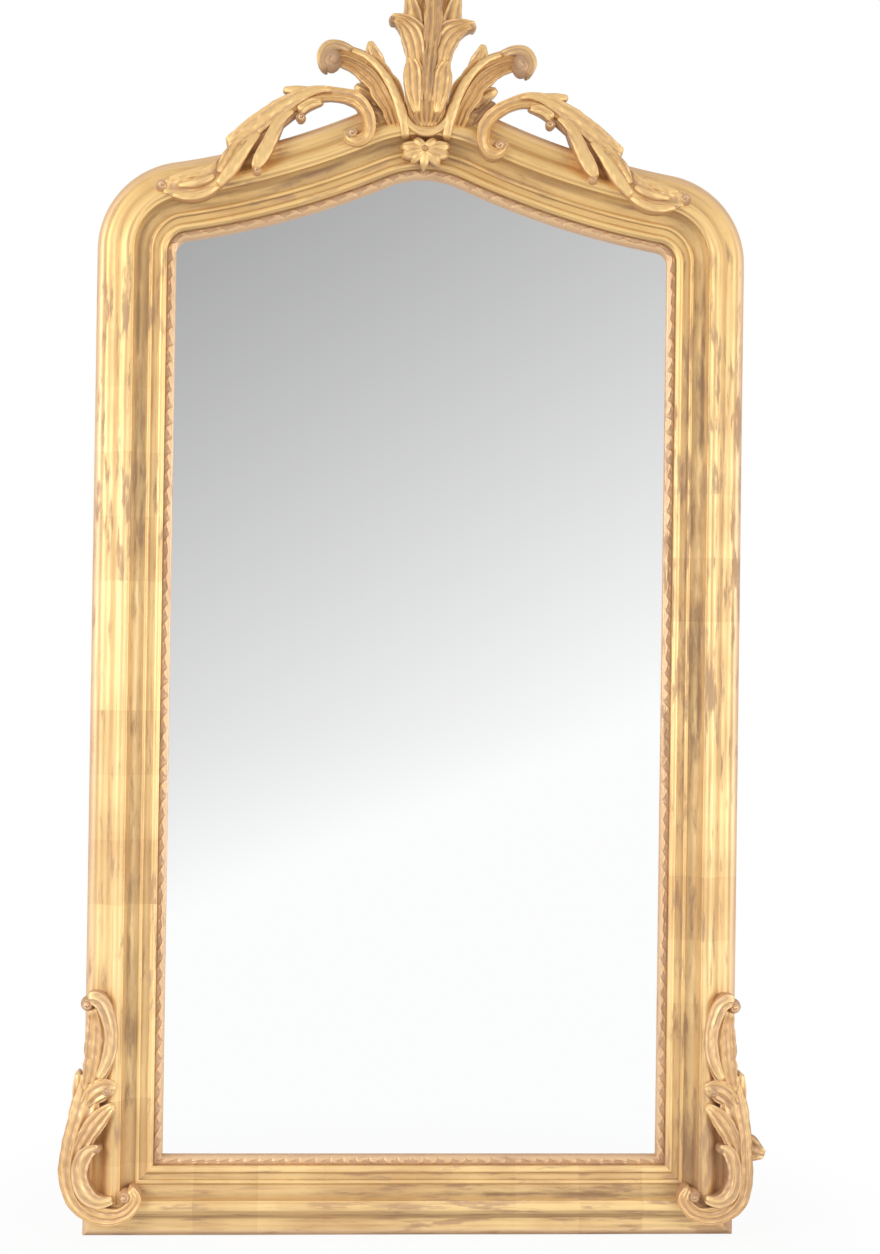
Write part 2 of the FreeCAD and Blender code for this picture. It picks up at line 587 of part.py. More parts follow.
# Side leaves of the crest: long curled leaves that spring from the foot of the plume.
leaf_right = carved("crest_leaf_right", [
    [(24, 1368, 5, 20, 58), (36, 1397, 9, 20, 62), (47, 1422, 12, 20, 56), (62, 1444, 13, 20, 50),
     (83, 1462, 13, 20, 46), (103, 1470, 11, 20, 44), (120, 1464, 9, 20, 42), (121, 1451, 6, 22, 36)],
    [(46, 1430, 8, 20, 48), (58, 1460, 9, 20, 44), (71, 1491, 2, 26, 34)],
    [(46, 1404, 6, 20, 50), (62, 1418, 7, 20, 44), (79, 1433, 2, 26, 34)],
], FRAME_TOP + [plume])
leaf_left = keep(mirrored("crest_leaf_left", leaf_right))

# C-scrolls of the crest: a volute by the plume, an open arch and a tail on the shoulder.
scroll_right = carved("crest_scroll_right", [
    [(93, 1362, 4, 30, 60), (84, 1354, 6, 28, 66), (74, 1360, 7, 28, 68), (69, 1376, 8, 28, 66),
     (73, 1394, 9, 26, 60), (86, 1408, 10, 24, 54), (106, 1416, 11, 24, 50), (130, 1417, 12, 24, 50),
     (154, 1411, 13, 24, 50), (178, 1397, 13, 24, 50), (201, 1376, 13, 24, 54), (222, 1355, 13, 24, 60),
     (240, 1336, 13, 26, 66), (260, 1318, 13, 28, 70), (290, 1304, 12, 28, 70), (327, 1297, 11, 28, 66),
     (358, 1288, 5, 28, 58)],
    [(138, 1420, 7, 24, 46), (155, 1426, 6, 24, 44), (173, 1430, 2, 28, 36)],
    [(212, 1370, 8, 24, 50), (236, 1365, 7, 24, 46), (258, 1366, 2, 28, 38)],
    [(180, 1388, 6, 24, 46), (165, 1388, 6, 24, 46), (155, 1379, 4, 26, 40)],
    [(226, 1346, 7, 26, 60), (218, 1328, 7, 28, 66), (214, 1313, 4, 30, 62)],
    [(252, 1322, 7, 28, 66), (252, 1310, 6, 28, 68), (253, 1298, 2, 30, 66)],
], FRAME_TOP + [leaf_right])
scroll_left = keep(mirrored("crest_scroll_left", scroll_right))

# Small flower over the joint of the arch mouldings.
petals = []
for number in range(7):
    turn = math.radians(90 + number * 360 / 7)
    petals.append([(2 + far * math.cos(turn), 1345 + 0.78 * far * math.sin(turn), half, 24, crest)
                   for far, half, crest in ((-3, 6, 62), (17, 8, 62), (28, 4, 54))])
floret = carved("crest_floret", petals, FRAME_TOP + [plume, leaf_right, leaf_left])

# Corner scrolls: a long curled leaf that bellies past the stile and ends in a volute.
corner_right = carved("corner_scroll_right", [
    [(394, 290, 8, 22, 60), (388, 270, 16, 22, 64), (384, 243, 21, 22, 66), (389, 215, 18, 22, 66),
     (403, 188, 12, 22, 64), (411, 158, 12, 22, 62), (416, 132, 14, 22, 62), (419, 104, 16, 22, 62),
     (418, 76, 16, 22, 62), (408, 48, 14, 22, 62), (391, 28, 11, 22, 66), (371, 22, 9, 24, 70),
     (354, 33, 8, 26, 70), (353, 48, 7, 28, 66), (363, 53, 4, 30, 62)],
    [(385, 276, 9, 24, 62), (392, 292, 9, 24, 62), (404, 297, 8, 26, 58), (416, 290, 4, 28, 50)],
    [(406, 176, 7, 22, 56), (414, 190, 5, 24, 50), (420, 202, 2, 28, 42)],
    [(372, 160, 4, 30, 64), (387, 145, 6, 26, 62), (402, 126, 7, 22, 58), (413, 104, 7, 22, 56)],
    [(368, 176, 5, 30, 66), (382, 175, 8, 28, 66), (396, 168, 8, 24, 62)],
    [(425, 112, 8, 22, 54), (433, 107, 6, 24, 50), (442, 103, 2, 28, 42)],
], FRAME_FOOT)
corner_left = keep(mirrored("corner_scroll_left", corner_right))

doc.recompute()
for item in doc.Objects:
    if "Invalid" in item.State or "Error" in item.State:
        raise RuntimeError(f"{item.Label} did not build: {item.State}")
os.makedirs("parts", exist_ok=True)
for item in pieces:
    shape = item.Shape
    if shape.isNull() or not shape.isValid() or shape.Volume <= 0:
        raise RuntimeError(f"{item.Label} has no valid shape")
    shape.exportStep(f"parts/{item.Label}.step")
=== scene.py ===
import math

import bmesh
import bpy
import numpy as np
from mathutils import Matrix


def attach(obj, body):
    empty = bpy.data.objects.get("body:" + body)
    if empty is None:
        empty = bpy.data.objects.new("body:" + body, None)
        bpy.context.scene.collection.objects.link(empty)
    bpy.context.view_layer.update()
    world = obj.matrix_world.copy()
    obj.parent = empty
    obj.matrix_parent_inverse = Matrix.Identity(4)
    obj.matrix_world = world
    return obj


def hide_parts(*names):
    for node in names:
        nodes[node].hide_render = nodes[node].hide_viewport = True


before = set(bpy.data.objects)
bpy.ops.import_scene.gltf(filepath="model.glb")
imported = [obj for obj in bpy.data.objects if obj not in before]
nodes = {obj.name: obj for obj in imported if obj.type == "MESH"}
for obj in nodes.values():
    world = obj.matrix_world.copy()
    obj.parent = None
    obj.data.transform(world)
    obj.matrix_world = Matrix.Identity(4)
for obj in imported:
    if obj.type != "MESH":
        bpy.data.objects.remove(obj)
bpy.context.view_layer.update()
scene = bpy.context.scene


# Softwood frame. Two stiles, a foot rail and a shaped top board, planed pine, half lapped
# and pegged at the corners. The faces towards the wall are bare and brown with age; the
# outer edges carry a brushed wash of yellow ochre so that they match the gilding.
def node(tree, kind, inputs=None, **settings):
    """Adds a shader node; an input is either another node's socket or a plain value."""
    made = tree.nodes.new(kind)
    for key, value in settings.items():
        setattr(made, key, value)
    for key, value in (inputs or {}).items():
        if isinstance(value, bpy.types.NodeSocket):
            tree.links.new(value, made.inputs[key])
        else:
            made.inputs[key].default_value = value
    return made


def math_node(tree, operation, first, second=0.5, clamp=False):
    """One arithmetic step on sockets or numbers; gives its output socket."""
    step = node(tree, "ShaderNodeMath", {0: first, 1: second}, operation=operation, use_clamp=clamp)
    return step.outputs[0]


def plus(tree, first, second):
    """Sum of two sockets or numbers."""
    return math_node(tree, "ADD", first, second)


def times(tree, first, second, clamp=False):
    """Product of two sockets or numbers, held between 0 and 1 where clamped."""
    return math_node(tree, "MULTIPLY", first, second, clamp)


def ramp(tree, value, low, high, to_low=0.0, to_high=1.0):
    """Smooth step of a value from one level to another; gives its output socket."""
    step = node(tree, "ShaderNodeMapRange",
                {"Value": value, "From Min": low, "From Max": high, "To Min": to_low, "To Max": to_high},
                interpolation_type="SMOOTHSTEP")
    return step.outputs["Result"]


def object_place(tree):
    """Place on the piece in its own coordinates, in metres."""
    return node(tree, "ShaderNodeTexCoord").outputs["Object"]


def normal_parts(tree):
    """X, Y and Z of the direction in which the surface faces."""
    normal = node(tree, "ShaderNodeNewGeometry").outputs["Normal"]
    return node(tree, "ShaderNodeSeparateXYZ", {0: normal}).outputs


def stretched(tree, place, scale, shift=(0.0, 0.0, 0.0)):
    """Place multiplied along each axis and then shifted, to draw a pattern out."""
    moved = node(tree, "ShaderNodeMapping", {"Vector": place, "Scale": scale, "Location": shift})
    return moved.outputs[0]


def noise(tree, place, scale, detail, roughness=0.5):
    """Cloudy pattern between 0 and 1; scale is about how many patches fall on one unit of place."""
    cloud = node(tree, "ShaderNodeTexNoise",
                 {"Vector": place, "Scale": scale, "Detail": detail, "Roughness": roughness})
    return cloud.outputs["Fac"]


def colour_mix(tree, share, first, second):
    """Colour between two colours, each a socket or a plain colour; gives its output socket.

    A mix node's colour sockets share their names with its number sockets, so they go by their kind."""
    mix = tree.nodes.new("ShaderNodeMix")
    mix.data_type = "RGBA"
    colours = [socket for socket in mix.inputs if socket.type == "RGBA"]
    for socket, value in [(mix.inputs[0], share), (colours[0], first), (colours[1], second)]:
        if isinstance(value, bpy.types.NodeSocket):
            tree.links.new(value, socket)
        else:
            socket.default_value = value if isinstance(value, float) else (*value, 1.0)
    return next(socket for socket in mix.outputs if socket.type == "RGBA")


def finish_group(name, numbers, vectors, outputs):
    """Empty shader group with its named sockets; gives the group, its input node and output node."""
    tree = bpy.data.node_groups.new(name, "ShaderNodeTree")
    for title in vectors:
        tree.interface.new_socket(name=title, in_out="INPUT", socket_type="NodeSocketVector")
    for title, value in numbers.items():
        socket = tree.interface.new_socket(name=title, in_out="INPUT", socket_type="NodeSocketFloat")
        socket.default_value = value
    for title, kind in outputs.items():
        tree.interface.new_socket(name=title, in_out="OUTPUT", socket_type=kind)
    return tree, tree.nodes.new("NodeGroupInput"), tree.nodes.new("NodeGroupOutput")


def finish_material(name, metallic=0.0):
    """Empty material; gives it with its tree and its shader."""
    material = bpy.data.materials.new(name)
    material.use_nodes = True
    shader = material.node_tree.nodes["Principled BSDF"]
    shader.inputs["Metallic"].default_value = metallic
    return material, material.node_tree, shader


def bumped(tree, shader, height, distance, strength):
    """Feeds a height into the shader's normal."""
    bump = node(tree, "ShaderNodeBump", {"Height": height, "Distance": distance, "Strength": strength})
    tree.links.new(bump.outputs["Normal"], shader.inputs["Normal"])


def dress(material, *names):
    """Gives CAD nodes their finish."""
    for name in names:
        mesh = nodes[name].data
        mesh.materials.clear()
        mesh.materials.append(material)


EARLY_WOOD = (0.36, 0.235, 0.125)
LATE_WOOD = (0.265, 0.16, 0.082)
DARK_FIBRE = (0.17, 0.10, 0.052)
BROWN_STAIN = (0.115, 0.074, 0.045)
grain, grain_in, grain_out = finish_group(
    "pine_grain", {"Seed": 0.0}, ["Along grain"],
    {"Colour": "NodeSocketColor", "Height": "NodeSocketFloat"})
lengthwise = stretched(grain, grain_in.outputs["Along grain"], (0.10, 1.0, 1.0))
own_seed = grain_in.outputs["Seed"]
shifted = node(grain, "ShaderNodeCombineXYZ", {"Y": own_seed, "X": own_seed}).outputs[0]
placed = node(grain, "ShaderNodeVectorMath", {0: lengthwise, 1: shifted}, operation="ADD").outputs[0]
rings = node(grain, "ShaderNodeTexWave", {"Vector": placed, "Scale": 12.0, "Distortion": 9.0, "Detail": 2.0,
                                          "Detail Scale": 1.3}, bands_direction="Z").outputs["Fac"]
fibre = noise(grain, stretched(grain, placed, (60.0, 420.0, 420.0)), 1.0, 3.0)
stain = noise(grain, grain_in.outputs["Along grain"], 6.0, 4.0)
ringed = colour_mix(grain, rings, EARLY_WOOD, LATE_WOOD)
fibred = colour_mix(grain, ramp(grain, fibre, 0.42, 0.72), ringed, DARK_FIBRE)
aged = colour_mix(grain, ramp(grain, stain, 0.45, 0.78), fibred, BROWN_STAIN)
grain.links.new(aged, grain_out.inputs["Colour"])
grain.links.new(plus(grain, times(grain, rings, 0.4), fibre), grain_out.inputs["Height"])
SHADED_WOOD = (0.13, 0.082, 0.046)
SEAM_DIRT = (0.035, 0.024, 0.016)
OCHRE_WASH = (0.50, 0.32, 0.13)


def pine(name, turn, washed, seed=0.0, shade=0.0, seams=()):
    """Pine with its grain along X before the turn; washed adds ochre on faces square to the wall.

    Seed moves the grain, shade darkens the plank and seams are heights where it meets the next one."""
    material, tree, shader = finish_material(name)
    place = object_place(tree)
    turned = node(tree, "ShaderNodeMapping", {"Vector": place, "Rotation": turn}).outputs[0]
    wood = node(tree, "ShaderNodeGroup", node_tree=grain)
    tree.links.new(turned, wood.inputs["Along grain"])
    wood.inputs["Seed"].default_value = seed
    colour = colour_mix(tree, shade, wood.outputs["Colour"], SHADED_WOOD)
    height = node(tree, "ShaderNodeSeparateXYZ", {0: place}).outputs["Z"]
    for seam in seams:
        off = math_node(tree, "ABSOLUTE", math_node(tree, "SUBTRACT", height, seam))
        colour = colour_mix(tree, ramp(tree, off, 0.0035, 0.0008, 0.0, 0.85), colour, SEAM_DIRT)
    if washed:
        edge = math_node(tree, "LESS_THAN", math_node(tree, "ABSOLUTE", normal_parts(tree)["Y"]), 0.5)
        brush = noise(tree, stretched(tree, turned, (14.0, 300.0, 300.0)), 1.0, 2.0)
        cover = times(tree, edge, ramp(tree, brush, 0.25, 0.6, 0.62, 1.0))
        colour = colour_mix(tree, cover, colour, OCHRE_WASH)
    tree.links.new(colour, shader.inputs["Base Color"])
    shader.inputs["Roughness"].default_value = 0.78
    bumped(tree, shader, wood.outputs["Height"], distance=0.0006, strength=0.5)
    return material


UPRIGHT = (0.0, math.pi / 2, 0.0)
LEVEL = (0.0, 0.0, 0.0)
dress(pine("pine_upright", UPRIGHT, True), "carcass_stile_left", "carcass_stile_right")
dress(pine("pine_level", LEVEL, True), "carcass_bottom_rail", "carcass_top_board")


# Pegs through the half laps, glue blocks that wedge the plate and the block that carries the
# crest: split or sawn from the same pine and glued in, with no wash on them.
dress(pine("pine_block", UPRIGHT, False), "lap_pegs", "glass_blocks", "crest_block")


# Front mouldings. Lengths of pine run to one section, planted on the frame, mitred at the
# foot and butted at the shoulders, then covered with gesso, bole and gold leaf. The arrises
# are soft from the gesso; the leaf is laid in squares along each length and rubbed thin.
MM = 0.001
FRAME_HALF = 406.0
SECTION = 96.0
SHOULDER_HEIGHT = 1222.7
SHOULDER_RADIUS = 16.4
SHOULDER_SLOPE = math.radians(9.65)
CROWN_RADIUS = 111.7
CROWN_SLOPE = math.radians(23.75)
sight_half = FRAME_HALF - SECTION
shoulder_x = sight_half - SHOULDER_RADIUS
sweep_radius = ((shoulder_x + SHOULDER_RADIUS * math.sin(SHOULDER_SLOPE)
                 - CROWN_RADIUS * math.sin(CROWN_SLOPE))
                / (math.sin(CROWN_SLOPE) - math.sin(SHOULDER_SLOPE)))
sweep_x = shoulder_x + (SHOULDER_RADIUS + sweep_radius) * math.sin(SHOULDER_SLOPE)
sweep_z = SHOULDER_HEIGHT + (SHOULDER_RADIUS + sweep_radius) * math.cos(SHOULDER_SLOPE)
crown_z = sweep_z - (sweep_radius + CROWN_RADIUS) * math.cos(CROWN_SLOPE)

# Corners of the section: distance across from the outer edge, depth from the wall, and the
# radius of the arc that leaves the corner, negative for a hollow and zero for a flat.
SECTION_CORNERS = [
    (0, 18, 0), (0, 32, 12), (9.5, 43.5, 0), (14, 42, 5), (23, 43.5, 0), (24.5, 42.5, 0), (26.8, 42.5, 0),
    (26.8, 47, 10.1), (44.6, 54, 0), (47.4, 54, 0), (47.4, 52.5, -15.6), (62.6, 37, 0), (63.5, 37, 3.3),
    (69.4, 37, 0), (69.4, 35, 0), (77.4, 35, 0), (77.4, 37, 4.3), (85, 37, 0), (86, 37, 0), (86, 18, 0)]
SLIP_CORNERS = [(86, 18, 0), (86, 29, 9), (96, 23, 0), (96, 18, 0)]


def section_line(corners, step):
    """Section as points at even steps: each side is a chord plus, for an arc, the bulge of its circle."""
    corners = np.array(corners, float)
    first, last, radius = corners[:-1, :2], corners[1:, :2], corners[:-1, 2]
    chord = last - first
    length = np.hypot(*chord.T)
    normal = np.stack([-chord[:, 1], chord[:, 0]], -1) / length[:, None]
    share = np.linspace(0, 1, 80, endpoint=False)
    off = (share[None] - 0.5) * length[:, None]
    reach = np.where(radius == 0, 1e9, np.abs(radius))
    rise = np.sqrt(np.maximum(reach[:, None] ** 2 - off ** 2, 0))
    rise = rise - np.sqrt(reach ** 2 - (length / 2) ** 2)[:, None]
    rise = np.where(radius[:, None] == 0, 0, rise * np.sign(radius)[:, None])
    line = first[:, None] + share[None, :, None] * chord[:, None] + rise[..., None] * normal[:, None]
    line = np.vstack([line.reshape(-1, 2), corners[-1:, :2]])
    run = np.r_[0, np.cumsum(np.hypot(*np.diff(line, axis=0).T))]
    at = np.linspace(0, run[-1], int(run[-1] / step))
    return np.stack([np.interp(at, run, line[:, 0]), np.interp(at, run, line[:, 1])], -1), at


def softened(values, at, spread):
    """Values averaged with a bell-shaped weight along the section, the ends held in place."""
    weight = np.exp(-((at[:, None] - at[None]) / spread) ** 2 / 2)
    smooth = weight @ values / weight.sum(1, keepdims=True)
    hold = np.clip(np.minimum(at, at[-1] - at) / (3 * spread), 0, 1)[:, None]
    return smooth * hold + values * (1 - hold)


def up_stile(share, across, depth):
    """Straight up the right side: x is the outer edge less the distance across, z starts on the mitre."""
    return FRAME_HALF - across, -depth, across + (SHOULDER_HEIGHT - across) * share


def along_foot(share, across, depth):
    """Straight along the foot between two mitres: z is the distance across, x is cut back by it."""
    return (FRAME_HALF - across) * (2 * share - 1), -depth, across


def round_shoulder(share, across, depth):
    """Arc about the shoulder's centre, from level with it to the shoulder's slope."""
    turn = math.pi / 2 + (SHOULDER_SLOPE - math.pi / 2) * share
    reach = SHOULDER_RADIUS + SECTION - across
    return shoulder_x + reach * np.sin(turn), -depth, SHOULDER_HEIGHT + reach * np.cos(turn)


SWEEP_SHARE = 0.8
SHOULDER_SHARE = 0.1


def over_arch(share, across, depth):
    """Hollow sweep for the first four fifths of the length, then half of the round crown."""
    sweep = SHOULDER_SLOPE + (CROWN_SLOPE - SHOULDER_SLOPE) * np.clip(share / SWEEP_SHARE, 0, 1)
    crown = CROWN_SLOPE * (1 - np.clip((share - SWEEP_SHARE) / (1 - SWEEP_SHARE), 0, 1))
    out = SECTION - across
    on_sweep = share <= SWEEP_SHARE
    x = np.where(on_sweep, sweep_x - (sweep_radius - out) * np.sin(sweep),
                 (CROWN_RADIUS + out) * np.sin(crown))
    z = np.where(on_sweep, sweep_z - (sweep_radius - out) * np.cos(sweep),
                 crown_z + (CROWN_RADIUS + out) * np.cos(crown))
    return x, -depth, z


def over_top(share, across, depth):
    """Shoulder for the first tenth of the length, then the arch."""
    arc = round_shoulder(np.clip(share / SHOULDER_SHARE, 0, 1), across, depth)
    arch = over_arch(np.clip((share - SHOULDER_SHARE) / (1 - SHOULDER_SHARE), 0, 1), across, depth)
    return tuple(np.where(share <= SHOULDER_SHARE, one, other) for one, other in zip(arc, arch))


STILE_RUN = SHOULDER_HEIGHT
SHOULDER_RUN = (SHOULDER_RADIUS + SECTION / 2) * (math.pi / 2 - SHOULDER_SLOPE)
ARCH_RUN = sweep_radius * (CROWN_SLOPE - SHOULDER_SLOPE) + CROWN_RADIUS * CROWN_SLOPE


def loop_faces(rows, columns, start=0):
    """Faces of closed loops in rows: quads between neighbouring rows and a flat face on each end."""
    r, c = np.meshgrid(np.arange(rows - 1), np.arange(columns), indexing="ij")
    ahead = (c + 1) % columns
    quads = np.stack([r * columns + c, r * columns + ahead,
                      (r + 1) * columns + ahead, (r + 1) * columns + c], -1) + start
    first = list(range(start, start + columns))
    last = list(range(start + (rows - 1) * columns, start + rows * columns))
    return quads.reshape(-1, 4).tolist() + [first[::-1], last]


def placed_mesh(name, place, faces, mirrored):
    """Mesh from points in millimetres; a mirrored one is turned over from the right side to the left."""
    place = place * MM * ((-1, 1, 1) if mirrored else (1, 1, 1))
    mesh = bpy.data.meshes.new(name)
    mesh.from_pydata(place.tolist(), [], faces)
    return mesh


def loops_mesh(name, points, uv, relief, material, mirrored=False):
    """Closed loops in rows as one shell; its map runs along and across the piece."""
    mesh = placed_mesh(name, points.reshape(-1, 3), loop_faces(*points.shape[:2]), mirrored)
    return dressed_mesh(name, mesh, uv.reshape(-1, 2), relief.reshape(-1), material)


def dressed_mesh(name, mesh, uv, relief, material, rub=None):
    """Object from a finished mesh, with its map, smooth faces and outward normals.

    Relief and rub are kept on its points for the finish: how proud a place is and how worn."""
    shell = bmesh.new()
    shell.from_mesh(mesh)
    bmesh.ops.recalc_face_normals(shell, faces=shell.faces)
    shell.to_mesh(mesh)
    shell.free()
    corner = np.empty(len(mesh.loops), np.int32)
    mesh.loops.foreach_get("vertex_index", corner)
    mesh.uv_layers.new(name="UVMap").data.foreach_set("uv", (uv[corner] * MM).astype(np.float32).ravel())
    mesh.attributes.new("relief", "FLOAT", "POINT").data.foreach_set("value", relief.astype(np.float32))
    if rub is not None:
        mesh.attributes.new("rub", "FLOAT", "POINT").data.foreach_set("value", rub.astype(np.float32))
    mesh.polygons.foreach_set("use_smooth", np.ones(len(mesh.polygons), bool))
    mesh.set_sharp_from_angle(angle=math.radians(38))
    mesh.materials.append(material)
    made = bpy.data.objects.new(name, mesh)
    scene.collection.objects.link(made)
    return made


def on_frame(piece, replaced):
    """The piece stands for one CAD node of the fixed frame."""
    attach(piece, "frame")
    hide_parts(replaced)


# Old gold leaf: squares of slightly different tone, drawn out in streaks, rubbed through to the
# red ground in patches, most of all low down and a little more to the right, where the wear also
# stands in for painted shade. The hollows are brown with dirt and painted shade, faces turned down
# carry painted shade, the outer flank is pinker with a matte ground and painted shade, and proud
# places are painted lighter, partly burnish and partly a painted highlight.
LEAF_SQUARE = 0.080
DULL_GOLD = (0.69, 0.45, 0.205)
BRIGHT_GOLD = (0.91, 0.665, 0.325)
WARM_GOLD = (0.86, 0.555, 0.19)
TANNED_GOLD = (0.56, 0.345, 0.175)
PINK_FLANK_AND_SHADE = (0.66, 0.45, 0.32)
RED_GROUND = (0.60, 0.375, 0.235)
BARE_GROUND = (0.46, 0.285, 0.175)
DIRT_AND_SHADE_BROWN = (0.26, 0.148, 0.075)
leaf, leaf_in, leaf_out = finish_group(
    "aged_leaf", {"Relief": 0.0, "Wear": 0.5, "Laps": 0.5, "Hollow dirt and shade": 0.7, "Blush": 0.0, "Downward shade": 0.0},
    ["Map", "Place"],
    {"Colour": "NodeSocketColor", "Metal": "NodeSocketFloat", "Roughness": "NodeSocketFloat",
     "Height": "NodeSocketFloat"})
leaf_map = leaf_in.outputs["Map"]
leaf_place = leaf_in.outputs["Place"]
leaf_relief = leaf_in.outputs["Relief"]
hollow = times(leaf, leaf_relief, -1.0, clamp=True)
proud = times(leaf, leaf_relief, 1.0, clamp=True)
lap = node(leaf, "ShaderNodeTexBrick", {
    "Vector": leaf_map, "Color1": (0, 0, 0, 1), "Color2": (1, 1, 1, 1), "Scale": 1.0,
    "Mortar Size": 0.0, "Brick Width": LEAF_SQUARE, "Row Height": 0.30}, offset=0.37)
lap_tone = times(leaf, math_node(leaf, "SUBTRACT", lap.outputs["Color"], 0.5), leaf_in.outputs["Laps"])
streak = noise(leaf, stretched(leaf, leaf_map, (9.0, 170.0, 1.0)), 1.0, 4.0)
thin = noise(leaf, stretched(leaf, leaf_map, (16.0, 95.0, 1.0), (3.7, 8.1, 2.3)), 1.0, 5.0, 0.62)
cloud = noise(leaf, leaf_place, 11.0, 3.0)
drift = noise(leaf, leaf_place, 3.6, 2.0)
speck = noise(leaf, leaf_place, 420.0, 2.0)
# Proud places take a lighter gold, partly burnish and partly a painted highlight.
tone = plus(leaf, plus(leaf, cloud, lap_tone), times(leaf, proud, 0.24))
gold = colour_mix(leaf, ramp(leaf, tone, 0.22, 0.80), DULL_GOLD, BRIGHT_GOLD)
side = node(leaf, "ShaderNodeSeparateXYZ", {0: leaf_place})
gold = colour_mix(leaf, ramp(leaf, side.outputs["Z"], 0.9, 1.35, 0.0, 0.45), gold, WARM_GOLD)
tanned = colour_mix(leaf, times(leaf, ramp(leaf, streak, 0.50, 0.72), 0.55), gold, TANNED_GOLD)
across = node(leaf, "ShaderNodeSeparateXYZ", {0: leaf_map})
# The outer flank, first along the section, is pinker and darker: a matte ground there and painted shade on
# that outward face.
outer_flank_shade = ramp(leaf, across.outputs["Y"], 0.034, 0.026, 0.0, 0.55)
flanked_and_shaded = colour_mix(leaf, outer_flank_shade, tanned, PINK_FLANK_AND_SHADE)
blush = times(leaf, leaf_in.outputs["Blush"], ramp(leaf, leaf_relief, 0.60, -0.25, 0.3, 1.0))
flanked_and_shaded = colour_mix(leaf, blush, flanked_and_shaded, RED_GROUND)
wear = times(leaf, math_node(leaf, "SUBTRACT", leaf_in.outputs["Wear"], 0.5), 0.5)
drifted = times(leaf, math_node(leaf, "SUBTRACT", drift, 0.5), 0.4)
worn_level = plus(leaf, thin, times(leaf, lap_tone, -0.3))
# Wear grows a little towards the right side, where it also stands in for painted shade, and low down.
for added in (wear, times(leaf, side.outputs["X"], 0.05), drifted,
              ramp(leaf, side.outputs["Z"], 1.15, 0.85, 0.0, 0.04)):
    worn_level = plus(leaf, worn_level, added)
worn = ramp(leaf, worn_level, 0.56, 0.71)
bared = colour_mix(leaf, times(leaf, worn, 0.75), flanked_and_shaded, BARE_GROUND)
patchy = ramp(leaf, plus(leaf, thin, drift), 0.80, 1.20, 0.25, 1.0)
# Dirt and painted shade in the hollows, patchy along the lengths.
dirt_and_shade = times(leaf, times(leaf, hollow, leaf_in.outputs["Hollow dirt and shade"]), patchy, clamp=True)
# Patches of painted shade on faces that turn downwards, joined to the hollows' dirt and shade.
downward_shade_patches = ramp(leaf, plus(leaf, streak, cloud), 0.7, 1.2, 0.45, 1.0)
dirt_and_shade = math_node(leaf, "MAXIMUM", dirt_and_shade, times(leaf, leaf_in.outputs["Downward shade"], downward_shade_patches))
dirtied_and_shaded = colour_mix(leaf, dirt_and_shade, bared, DIRT_AND_SHADE_BROWN)
leaf.links.new(dirtied_and_shaded, leaf_out.inputs["Colour"])
dull = math_node(leaf, "MAXIMUM", times(leaf, worn, 0.75), dirt_and_shade)
leaf.links.new(ramp(leaf, dull, 0.0, 1.0, 0.60, 0.12), leaf_out.inputs["Metal"])
rough = plus(leaf, ramp(leaf, dull, 0.0, 1.0, 0.46, 0.66), times(leaf, streak, 0.12))
leaf.links.new(rough, leaf_out.inputs["Roughness"])
brushed = plus(leaf, times(leaf, worn, -0.4), times(leaf, streak, 0.6))
leaf.links.new(plus(leaf, times(leaf, speck, 0.35), brushed), leaf_out.inputs["Height"])


def gilding(name, wear, laps, hollow_dirt_and_shade, blush, downward_shade):
    """Aged gold leaf on gesso, its pattern on the piece's own map; painted shade darkens it where it faces
    down.

    Wear adds to the rubbing kept on the points; the next three numbers say how strongly the squares,
    the dirt and painted shade in the hollows and the red ground show; the last is how dark the painted
    shade on downward faces may grow."""
    material, tree, shader = finish_material(name)
    coat = node(tree, "ShaderNodeGroup", node_tree=leaf)
    tree.links.new(node(tree, "ShaderNodeUVMap", uv_map="UVMap").outputs["UV"], coat.inputs["Map"])
    tree.links.new(object_place(tree), coat.inputs["Place"])
    relief = node(tree, "ShaderNodeAttribute", attribute_name="relief").outputs["Fac"]
    tree.links.new(relief, coat.inputs["Relief"])
    # Painted shade on faces that turn downwards, strongest where they face straight down.
    tree.links.new(ramp(tree, normal_parts(tree)["Z"], -0.18, -0.75, 0.0, downward_shade), coat.inputs["Downward shade"])
    shader.inputs["Specular IOR Level"].default_value = 0.3
    rub = node(tree, "ShaderNodeAttribute", attribute_name="rub").outputs["Fac"]
    tree.links.new(plus(tree, rub, wear), coat.inputs["Wear"])
    for title, value in (("Laps", laps), ("Hollow dirt and shade", hollow_dirt_and_shade), ("Blush", blush)):
        coat.inputs[title].default_value = value
    for title, socket in (("Colour", "Base Color"), ("Metal", "Metallic"), ("Roughness", "Roughness")):
        tree.links.new(coat.outputs[title], shader.inputs[socket])
    bumped(tree, shader, coat.outputs["Height"], distance=0.0005, strength=0.35)
    return material


moulding_gilt = gilding("moulding_gilt", wear=0.50, laps=0.20, hollow_dirt_and_shade=0.95, blush=0.06, downward_shade=0.6)
WALL_SIDE = 18.0
COVE_EDGE = 51.5
CHANNEL = 73.0
section, section_at = section_line(SECTION_CORNERS, 0.75)
section = softened(section, section_at, 0.55)

# Gesso has filled the groove beside the big roll: round a place across the section, the line is
# drawn towards its own average over a spread, fully near the place and less away from it.
for place, reach, full, spread in ((21.0, 16.0, 1.25, 3.4), (26.0, 9.0, 1.75, 7.0)):
    filled = np.clip(full - np.abs(section[:, :1] - place) / reach, 0, 1)
    section = section + (softened(section, section_at, spread) - section) * filled

